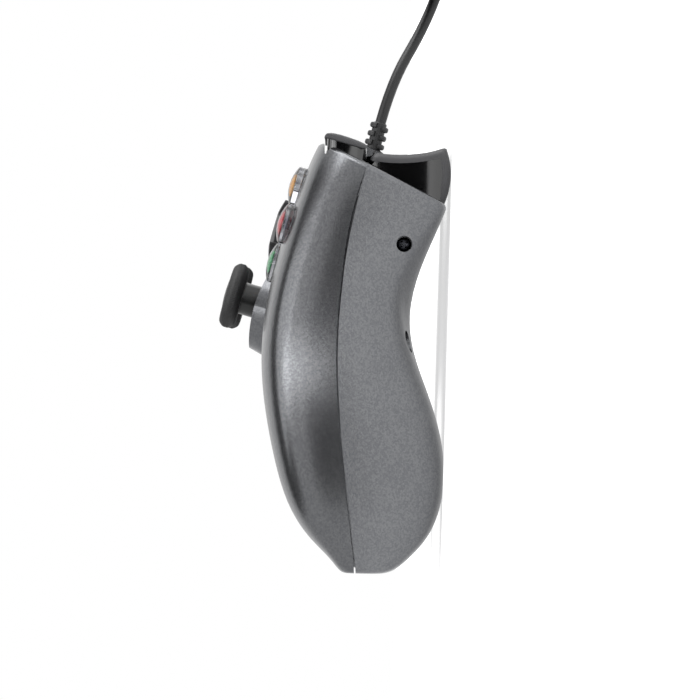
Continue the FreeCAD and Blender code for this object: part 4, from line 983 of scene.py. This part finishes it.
@dataclass
class Bumper(SideAssembly):
    """One bumper: a matt finger plate with rounded ends over a polished skirt."""

    crest_x: float = 46.0
    sweep_radius: float = 300.0
    cap_inner_x: float = 24.4
    cap_outer_x: float = 66.8
    cap_middle_z: float = 25.9
    cap_lean: float = 0.29
    end_round: float = 0.7
    end_inset: float = 0.45
    end_steps: int = 4
    cap_spans: int = 14
    skirt_inner_x: float = 27.2
    skirt_outer_x: float = 65.6
    skirt_low: float = 20.8
    skirt_high: float = 30.4
    skirt_corner: float = 2.4
    skirt_sunk: float = 1.4
    under_y: float = 50.1
    under_z: float = 20.9
    under_slope: float = 0.262
    plane_y: float = 36.04
    plane_slope: float = 0.486
    tuck: float = 0.3

    def bowed(self, x: float) -> float:
        """How far the bumper falls back from its crest at a place along it."""
        return math.sqrt(self.sweep_radius ** 2 - (x - self.crest_x) ** 2) - self.sweep_radius

    def under(self, z: float) -> float:
        """The plate's under side at a height, where it is fullest."""
        return self.under_y + self.under_slope * (z - self.under_z)

    def spots(self) -> list[Pair]:
        """Steps along the plate so that both its ends are rounded.

        Returns:
            Each place, with how far the outline is drawn in there.
        """
        ends = []
        for step in range(self.end_steps + 1):
            turn = math.radians(90 * step / self.end_steps)
            ends.append((self.end_round * (1 - math.cos(turn)), self.end_inset * (1 - math.sin(turn))))
        made = [(self.cap_inner_x + run, inset) for run, inset in ends]
        start = self.cap_inner_x + self.end_round
        span = (self.cap_outer_x - self.end_round - start) / self.cap_spans
        made += [(start + span * step, 0.0) for step in range(1, self.cap_spans)]
        return made + [(self.cap_outer_x - run, inset) for run, inset in reversed(ends)]

    def cap_mesh(self) -> Mesh:
        """Makes the finger plate.

        Returns:
            The mesh.
        """
        outline = [(51.2, 20.95), (51.45, 21.2), (52.2, 22.9), (53.0, 25.4), (53.55, 27.4), (53.82, 28.8)]
        outline += [(53.88, 29.6), (53.8, 30.3), (53.55, 30.85), (53.1, 31.12), (52.6, 31.15)]
        outline += [(self.under(29.8) + 0.15, 30.7), (self.under(29.8), 29.8), (self.under(25.4), 25.4)]
        outline += [(self.under(21.4), 21.4), (self.under(21.0) + 0.1, 20.98)]
        middle_y = sum(y for y, z in outline) / len(outline)
        rings = []
        for x, inset in self.spots():
            ring = []
            for y, z in outline:
                off_z = self.cap_middle_z - z
                off_y = middle_y - self.cap_lean * off_z - y
                pull_y = math.copysign(min(inset, abs(off_y)), off_y)
                pull_z = math.copysign(min(inset, abs(off_z)), off_z)
                ring.append(Vector((x, y + pull_y + self.bowed(x), z + pull_z)))
            rings.append(ring)
        return skinned(self.side.named("bumper_plate"), rings, crease=38.0)

    def skirt_mesh(self) -> Mesh:
        """Makes the polished skirt with round corners.

        Returns:
            The mesh.
        """
        corner = self.skirt_corner
        inner, outer = self.skirt_inner_x + corner, self.skirt_outer_x - corner
        low, high = self.skirt_low + corner, self.skirt_high - corner
        flat = []
        for quarter, centre in enumerate(((outer, high), (inner, high), (inner, low), (outer, low))):
            flat += arc_points(centre, corner, 90 * quarter, 90 * quarter + 90, 10)
        foot = [Vector((x, self.plane_y + self.plane_slope * z - self.skirt_sunk, z)) for x, z in flat]
        top = [Vector((x, self.under(z) + self.tuck + self.bowed(x), z)) for x, z in flat]
        return skinned(self.side.named("bumper_wall"), [foot, top])

    def build(self) -> None:
        """Makes both parts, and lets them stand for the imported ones."""
        mirror = self.mirror()
        body = self.side.named("bumper")
        self.set_piece(self.cap_mesh(), mirror, SATIN_ABS, "matte_black", body, body + "_cap")
        self.set_piece(self.skirt_mesh(), mirror, POLISHED_ABS, "gloss_black", body, body + "_skirt")


@dataclass
class StrainRelief(Assembly):
    """The ribbed sleeve where the cord leaves the shells."""

    root: Triple = (0.0, 50.0, 19.55)
    lean: float = math.radians(13.9)
    length: float = 9.4
    core_radius: float = 1.75
    segments: int = 40
    first_rib: float = 3.65
    pitch: float = 2.26
    stagger: float = 0.62
    rib_root: float = 1.5
    rib_reach: float = 2.62
    rib_shrink: float = 0.08
    rib_width: float = 1.4
    rib_soft: float = 0.45
    rib_steps: int = 14
    half_span: float = 68.0
    taper_start: float = 0.8
    taper: float = 0.15

    def core(self) -> Mesh:
        """Makes the sleeve with its neck and collar, about the Z axis.

        Returns:
            The mesh.
        """
        outline = [(0.0, -4.8), (4.2, -4.8), (4.4, -4.6), (4.4, -3.6), (4.2, -3.4), (3.0, -3.4), (3.0, 1.1)]
        outline += [(3.12, 1.3), (3.0, 1.75), (2.72, 2.1), (2.1, 2.3), (self.core_radius, 2.6)]
        outline += [(self.core_radius, self.length - 0.25), (self.core_radius - 0.2, self.length)]
        outline += [(0.0, self.length)]
        return revolved("strain_relief", outline, self.segments)

    def rib(self, name: str, height: float, facing: float, reach: float) -> Mesh:
        """One half rib with rounded edges and tapered ends.

        Args:
            name: The mesh's name.
            height: Its middle along the sleeve.
            facing: The angle it faces, in degrees.
            reach: Its outer radius.

        Returns:
            The mesh.
        """
        half = self.rib_width / 2
        soft = self.rib_soft
        section = [(self.rib_root, -half), (reach - soft, -half), (reach - soft * 0.3, -half + soft * 0.3)]
        section += [(reach, -half + soft), (reach, half - soft)]
        section += [(reach - soft * 0.3, half - soft * 0.3), (reach - soft, half), (self.rib_root, half)]
        rings = []
        for index in range(self.rib_steps + 1):
            share = 2 * index / self.rib_steps - 1
            angle = math.radians(facing + self.half_span * share)
            past = max(0.0, abs(share) - self.taper_start) / (1 - self.taper_start)
            ring = []
            for radius, level in section:
                far = self.rib_root + (radius - self.rib_root) * (1 - self.taper * past)
                ring.append(Vector((far * math.cos(angle), far * math.sin(angle), height + level)))
            rings.append(ring)
        return skinned(name, rings)

    def build(self) -> list[Piece]:
        """Makes the sleeve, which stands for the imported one, and its ribs.

        Returns:
            The pieces, the sleeve first.
        """
        axis = Vector((0, math.cos(self.lean), -math.sin(self.lean)))
        across = Vector((0, math.sin(self.lean), math.cos(self.lean)))
        place = standing(Vector(self.root), axis, across)
        pieces = [self.set_piece(self.core(), place, MOULDED_PVC, "cord_rubber", "pad", "cable_gland")]
        for index in range(3):
            height = self.first_rib + self.pitch * index
            reach = self.rib_reach - self.rib_shrink * index
            for part, facing, shift in (("face", 0, self.stagger / 2), ("back", 180, -self.stagger / 2)):
                mesh = self.rib(f"relief_rib_{part}_{index + 1}", height + shift, facing, reach)
                pieces.append(self.set_piece(mesh, place, MOULDED_PVC, "cord_rubber", "pad"))
        return pieces


@dataclass
class CoilTie(Assembly):
    """The woven strap round the put-away turns."""

    half_width: float = 2.0
    thick: float = 0.55
    bevel_x: float = 0.2
    bevel_deep: float = 0.12
    corner: float = 1.9
    corner_steps: int = 6

    def build(self) -> Piece:
        """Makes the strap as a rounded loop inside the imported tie's box.

        Returns:
            The strap.
        """
        low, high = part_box("coil_tie")
        y_low, z_low = low[1] / MM + self.corner, low[2] / MM + self.corner
        y_high, z_high = high[1] / MM - self.corner, high[2] / MM - self.corner
        half = self.half_width
        inset = half - self.bevel_x
        section = [(-half, self.thick), (-half, self.bevel_deep), (-inset, 0.0)]
        section += [(inset, 0.0), (half, self.bevel_deep), (half, self.thick)]
        rings = []
        corners = ((y_high, z_high), (y_low, z_high), (y_low, z_low), (y_high, z_low))
        for quarter, (y, z) in enumerate(corners):
            for step in range(self.corner_steps + 1):
                angle = math.radians(90 * (quarter + step / self.corner_steps))
                ring = []
                for x, deep in section:
                    reach = self.corner - deep
                    ring.append(Vector((x, y + reach * math.cos(angle), z + reach * math.sin(angle))))
                rings.append(ring)
        mesh = skinned("cord_strap", rings, looped=True, crease=50.0)
        return self.set_piece(mesh, Matrix(), WOVEN_NYLON, "cord_rubber", "pad", "coil_tie")


@dataclass
class Plug(Assembly):
    """The small pieces of the plug: its four contacts and the ridges of its grip."""

    middle_x: float = -36.208
    tongue_face: float = 4.0
    contact_pitch: float = 2.4
    contact_half: float = 0.55
    contact_ends: Pair = (9.0, 1.6)
    contact_levels: Pair = (-0.12, 0.2)
    ridge_count: int = 5
    ridge_start: float = 8.0
    ridge_pitch: float = 2.2
    ridge_half: Pair = (4.6, 0.45)
    ridge_levels: Pair = (-0.6, 0.35)

    def build(self) -> list[Piece]:
        """Makes the contacts and the ridges.

        Returns:
            The pieces.
        """
        shell_low, shell_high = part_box("usb_plug_shell")
        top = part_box("usb_plug_grip")[1][2] / MM
        mouth = shell_high[1] / MM
        root = shell_low[1] / MM
        made = []
        for index in range(4):
            x = self.middle_x + (index - 1.5) * self.contact_pitch
            corners = []
            for sign, end, level in zip((-1, 1), self.contact_ends, self.contact_levels):
                corners.append(Vector((x + sign * self.contact_half, mouth - end, self.tongue_face + level)))
            mesh = rounded_box(f"plug_contact_{index + 1}", *corners, 0.05)
            made.append(self.set_piece(mesh, Matrix(), GOLD_CONTACT, "plug_steel", "pad"))
        half_x, half_y = self.ridge_half
        for index in range(self.ridge_count):
            y = root - self.ridge_start - self.ridge_pitch * index
            corners = []
            for sign, level in zip((-1, 1), self.ridge_levels):
                corners.append(Vector((self.middle_x + sign * half_x, y + sign * half_y, top + level)))
            mesh = rounded_box(f"plug_ridge_{index + 1}", *corners, 0.3)
            made.append(self.set_piece(mesh, Matrix(), MOULDED_PVC, "plug_plastic", "pad"))
        return made


@dataclass
class Cord(Assembly):
    """The cord from the strain relief to the plug, with its spare length wound up."""

    radius: float = 1.4
    length_m: float = 1.8
    coil_y: float = 123.0
    layers: int = 4
    turns_per_layer: float = 3.375
    step: float = 3.75
    mean_radius: float = 16.63
    floor: float = 2.1
    crossing_z: float = 9.6
    tail_z: float = 4.0
    plug_radius: float = 36.208
    points_per_turn: int = 16

    def reach(self, side: int) -> float:
        """The radius of the widest turns, or with -1 of the narrowest."""
        return self.mean_radius + side * self.turns_per_layer * self.step / 2

    def route(self) -> list[Vector]:
        """Leads from the strain relief to the coil.

        Returns:
            The points of the route.
        """
        return [
            Vector((0.0, 59.1246, 17.2918)),
            Vector((0.0, 69.8025, 14.6493)),
            Vector((-6.5, 83.5, 7.2)),
            Vector((-16.5, 96.5, 2.4)),
            Vector((-self.reach(1), 109.0, self.floor)),
            Vector((-self.reach(1), self.coil_y - 2 * self.radius, self.floor)),
        ]

    def stages(self) -> list[Triple]:
        """Winds the layers inward and outward by turns, then leads down beside them to the plug.

        Returns:
            Turns, radius and height at the ends of each stage.
        """
        made = [(0.0, self.reach(1), self.floor)]
        turns = 0.0
        for layer in range(self.layers):
            turns += self.turns_per_layer
            radius = self.reach(-1 if layer % 2 == 0 else 1)
            made.append((turns, radius, self.floor + layer * self.step))
            if layer < self.layers - 1:
                turns += 0.5
                made.append((turns, radius, self.floor + (layer + 1) * self.step))
        tail = self.reach(1) + self.step
        made.append((turns + 0.5, tail, self.floor + (self.layers - 1) * self.step))
        made.append((turns + 0.75, tail + 1.0, self.crossing_z))
        made.append((turns + 1.0, self.plug_radius, self.tail_z))
        return made

    def coil(self) -> list[Vector]:
        """Follows the stages of the winding.

        Returns:
            The points of the winding.
        """
        stages = self.stages()
        swell = 2 / (1 + math.cos(math.pi / self.points_per_turn))
        points = []
        for index in range(1, int(stages[-1][0] * self.points_per_turn) + 1):
            turn = index / self.points_per_turn
            for (turn_a, radius_a, z_a), (turn_b, radius_b, z_b) in zip(stages, stages[1:]):
                if turn <= turn_b + 1e-6:
                    break
            share = (turn - turn_a) / (turn_b - turn_a)
            radius = (radius_a + (radius_b - radius_a) * share) * swell
            height = z_a + (z_b - z_a) * share * share * (3 - 2 * share)
            angle = math.pi - 2 * math.pi * turn
            points.append(Vector((radius * math.cos(angle), self.coil_y + radius * math.sin(angle), height)))
        return points

    def build(self, on_it: list[Piece | str]) -> None:
        """Args:
            on_it: The pieces and nodes that are on the cord; not used.
        """
        route = self.route()
        end = Vector((-self.plug_radius, self.coil_y + 2 * self.radius, self.tail_z))
        points = route + self.coil() + [end]
        curve = bpy.data.curves.new("cord_tube", "CURVE")
        curve.dimensions = "3D"
        curve.bevel_depth = self.radius * MM
        curve.bevel_resolution = 5
        curve.resolution_u = 6
        curve.use_fill_caps = True
        spline = curve.splines.new("NURBS")
        spline.points.add(len(points) - 1)
        for spot, point in zip(spline.points, points):
            spot.co = (*(point * MM), 1.0)
        spline.order_u = 3
        spline.use_endpoint_u = True
        piece = linked("cord_tube", curve)
        self.finisher.dress(piece, CORD_PVC)
        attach(piece, "pad")
        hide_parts("cord", "cord_coil")
        LOG.info("laid the cord through %d points", len(points))


@dataclass
class Studio:
    """Floor, light and camera, in metres."""

    view_distance: float = 1.2
    near_plane_x: float = 0.058
    aim_y: float = 0.0006
    aim_z: float = 0.02348
    roll: float = math.radians(1.611)
    field: float = 0.1715
    sensor: float = 36.0
    clip_end: float = 20.0
    fill: float = 0.35
    floor_half: float = 0.95
    floor_grey: str = "#f2f2f2"
    # The floor's glow is glow_low within glow_near metres of the middle, rising to full beyond glow_far:
    # painted shade round the pad.
    glow_near: float = 0.1
    glow_far: float = 0.35
    glow_low: float = 0.6
    lamp_aim: Triple = (0.0, 0.0, 0.025)
    card_half: float = 0.9

    def camera(self) -> None:
        """Places the camera at the photograph's angle, to the right of the pad."""
        data = bpy.data.cameras.new("camera")
        data.sensor_width = self.sensor
        data.lens = self.sensor * self.view_distance / self.field
        data.clip_end = self.clip_end
        camera = linked("camera", data)
        right = Vector((0.0, math.sin(self.roll), -math.cos(self.roll)))
        up = Vector((0.0, math.cos(self.roll), math.sin(self.roll)))
        turn = Matrix((right, up, X_AXIS)).transposed().to_4x4()
        spot = Vector((self.near_plane_x + self.view_distance, self.aim_y, self.aim_z))
        camera.matrix_world = Matrix.Translation(spot) @ turn
        bpy.context.scene.camera = camera

    def seen_ray(self, tree: Tree) -> Socket:
        """One where a ray comes from the camera, a glossy surface or a clear one.

        Args:
            tree: The node tree.

        Returns:
            The socket that carries it.
        """
        ray = add_node(tree, "LightPath")
        seen = ray.outputs["Is Camera Ray"]
        for name in ("Is Glossy Ray", "Is Transmission Ray"):
            both = add_node(tree, "Math", {0: seen, 1: ray.outputs[name]}, operation="MAXIMUM")
            seen = both.outputs["Value"]
        return seen

    def sheet(self, name: str, corners: list[Triple]) -> tuple[Piece, Tree]:
        """Adds a flat four-cornered piece of the stage.

        Args:
            name: Its name.
            corners: Its corners, in metres.

        Returns:
            The piece, and its material's empty node tree.
        """
        mesh = bpy.data.meshes.new(name)
        mesh.from_pydata(corners, [], [(0, 1, 2, 3)])
        material = bpy.data.materials.new(name)
        tree = emptied(material)
        mesh.materials.append(material)
        piece = linked(name, mesh)
        return piece, tree

    def floor(self) -> None:
        """A pale floor that glows white for the camera and reflections, with painted shade round the pad
        where its glow is weaker, on top of the pad's real shadow.
        """
        half = self.floor_half
        corners = [(-half, -half, 0), (half, -half, 0), (half, half, 0), (-half, half, 0)]
        _, tree = self.sheet("floor", corners)
        diffuse = add_node(tree, "BsdfDiffuse", {"Color": linear(self.floor_grey)})
        spot = add_node(tree, "NewGeometry").outputs["Position"]
        far = add_node(tree, "VectorMath", {0: spot}, operation="LENGTH").outputs["Value"]
        # The glow is weaker near the pad, which paints shade round it.
        share = add_node(tree, "MapRange", {
            "Value": far, "From Min": self.glow_near, "From Max": self.glow_far, "To Min": self.glow_low,
        })
        glow = add_node(tree, "Emission", {"Color": (1, 1, 1, 1), "Strength": share.outputs["Result"]})
        lit = add_node(tree, "AddShader", {0: diffuse.outputs["BSDF"], 1: glow.outputs["Emission"]})
        mix = add_node(tree, "MixShader", {
            0: self.seen_ray(tree), 1: diffuse.outputs["BSDF"], 2: lit.outputs["Shader"],
        })
        add_node(tree, "OutputMaterial", {"Surface": mix.outputs["Shader"]})

    def world(self) -> None:
        """White where a look or a reflection goes past everything, soft grey as light."""
        world = bpy.data.worlds.new("studio")
        bpy.context.scene.world = world
        tree = emptied(world)
        white, fill = (
            add_node(tree, "Background", {"Color": (1, 1, 1, 1), "Strength": strength}).outputs["Background"]
            for strength in (1.0, self.fill)
        )
        mix = add_node(tree, "MixShader", {0: self.seen_ray(tree), 1: fill, 2: white})
        add_node(tree, "OutputWorld", {"Surface": mix.outputs["Shader"]})

    def lamp(self, name: str, spot: Triple, size: Pair, power: float) -> None:
        """Adds one soft box that faces the pad.

        Args:
            name: The lamp's name.
            spot: Its place, in metres.
            size: Its width and height, in metres.
            power: Its power, in watts.
        """
        data = bpy.data.lights.new(name, "AREA")
        data.shape = "RECTANGLE"
        data.size, data.size_y = size
        data.energy = power
        lamp = linked(name, data)
        lamp.location = spot
        lamp.rotation_euler = (Vector(self.lamp_aim) - lamp.location).to_track_quat("-Z", "Y").to_euler()

    def lights(self) -> None:
        """Soft boxes over the face and beyond the shoulder, and a strip high on the camera's side."""
        self.lamp("over_face", (0.3, 0.1, 1.1), (0.9, 0.9), 5)
        self.lamp("beyond_shoulder", (0.2, 1.0, 0.5), (0.8, 0.8), 8)
        self.lamp("side_strip", (0.86, 0.0, 0.74), (0.2, 1.2), 2.6)

    def card(self, name: str, ends: tuple[Pair, Pair], grey: str) -> None:
        """A dark card that only reflections see.

        Args:
            name: Its name.
            ends: X and Z of its two long edges, in metres.
            grey: Its tone.
        """
        (x_a, z_a), (x_b, z_b) = ends
        wide = self.card_half
        corners = [(x_a, -wide, z_a), (x_a, wide, z_a), (x_b, wide, z_b), (x_b, -wide, z_b)]
        piece, tree = self.sheet(name, corners)
        glow = add_node(tree, "Emission", {"Color": linear(grey), "Strength": 1.0})
        add_node(tree, "OutputMaterial", {"Surface": glow.outputs["Emission"]})
        for ray in ("camera", "diffuse", "shadow", "transmission"):
            setattr(piece, "visible_" + ray, False)

    def cards(self) -> None:
        """Dark cards behind the camera and over the pad, with a white gap between them."""
        self.card("side_card", ((1.6, 0.0), (1.6, 0.8)), "#242424")
        self.card("top_card", ((0.7, 1.3), (-0.9, 1.3)), "#4c4c4c")

    def build(self) -> None:
        """Sets the stage."""
        self.camera()
        self.floor()
        self.world()
        self.lights()
        self.cards()
        bpy.context.scene.view_settings.view_transform = "Standard"
        LOG.info("set the stage")


def main() -> None:
    """Dresses the pad."""
    logging.basicConfig(level=logging.INFO)
    finisher = Finisher()
    Studio().build()
    relief = StrainRelief(finisher).build()
    strap = CoilTie(finisher).build()
    details = Plug(finisher).build()
    Cord(finisher).build(["usb_plug_grip", "usb_plug_shell", strap, *relief, *details])
    Moulding(finisher).dress()
    Screws(finisher).build()
    for side in Side:
        for kind in (Trigger, Bumper, ThumbCap, PodApron):
            kind(finisher, side).build()
    for name in BUTTON_TURNS:
        FaceButton(finisher, name).build()


if __name__ == "__main__":
    main()
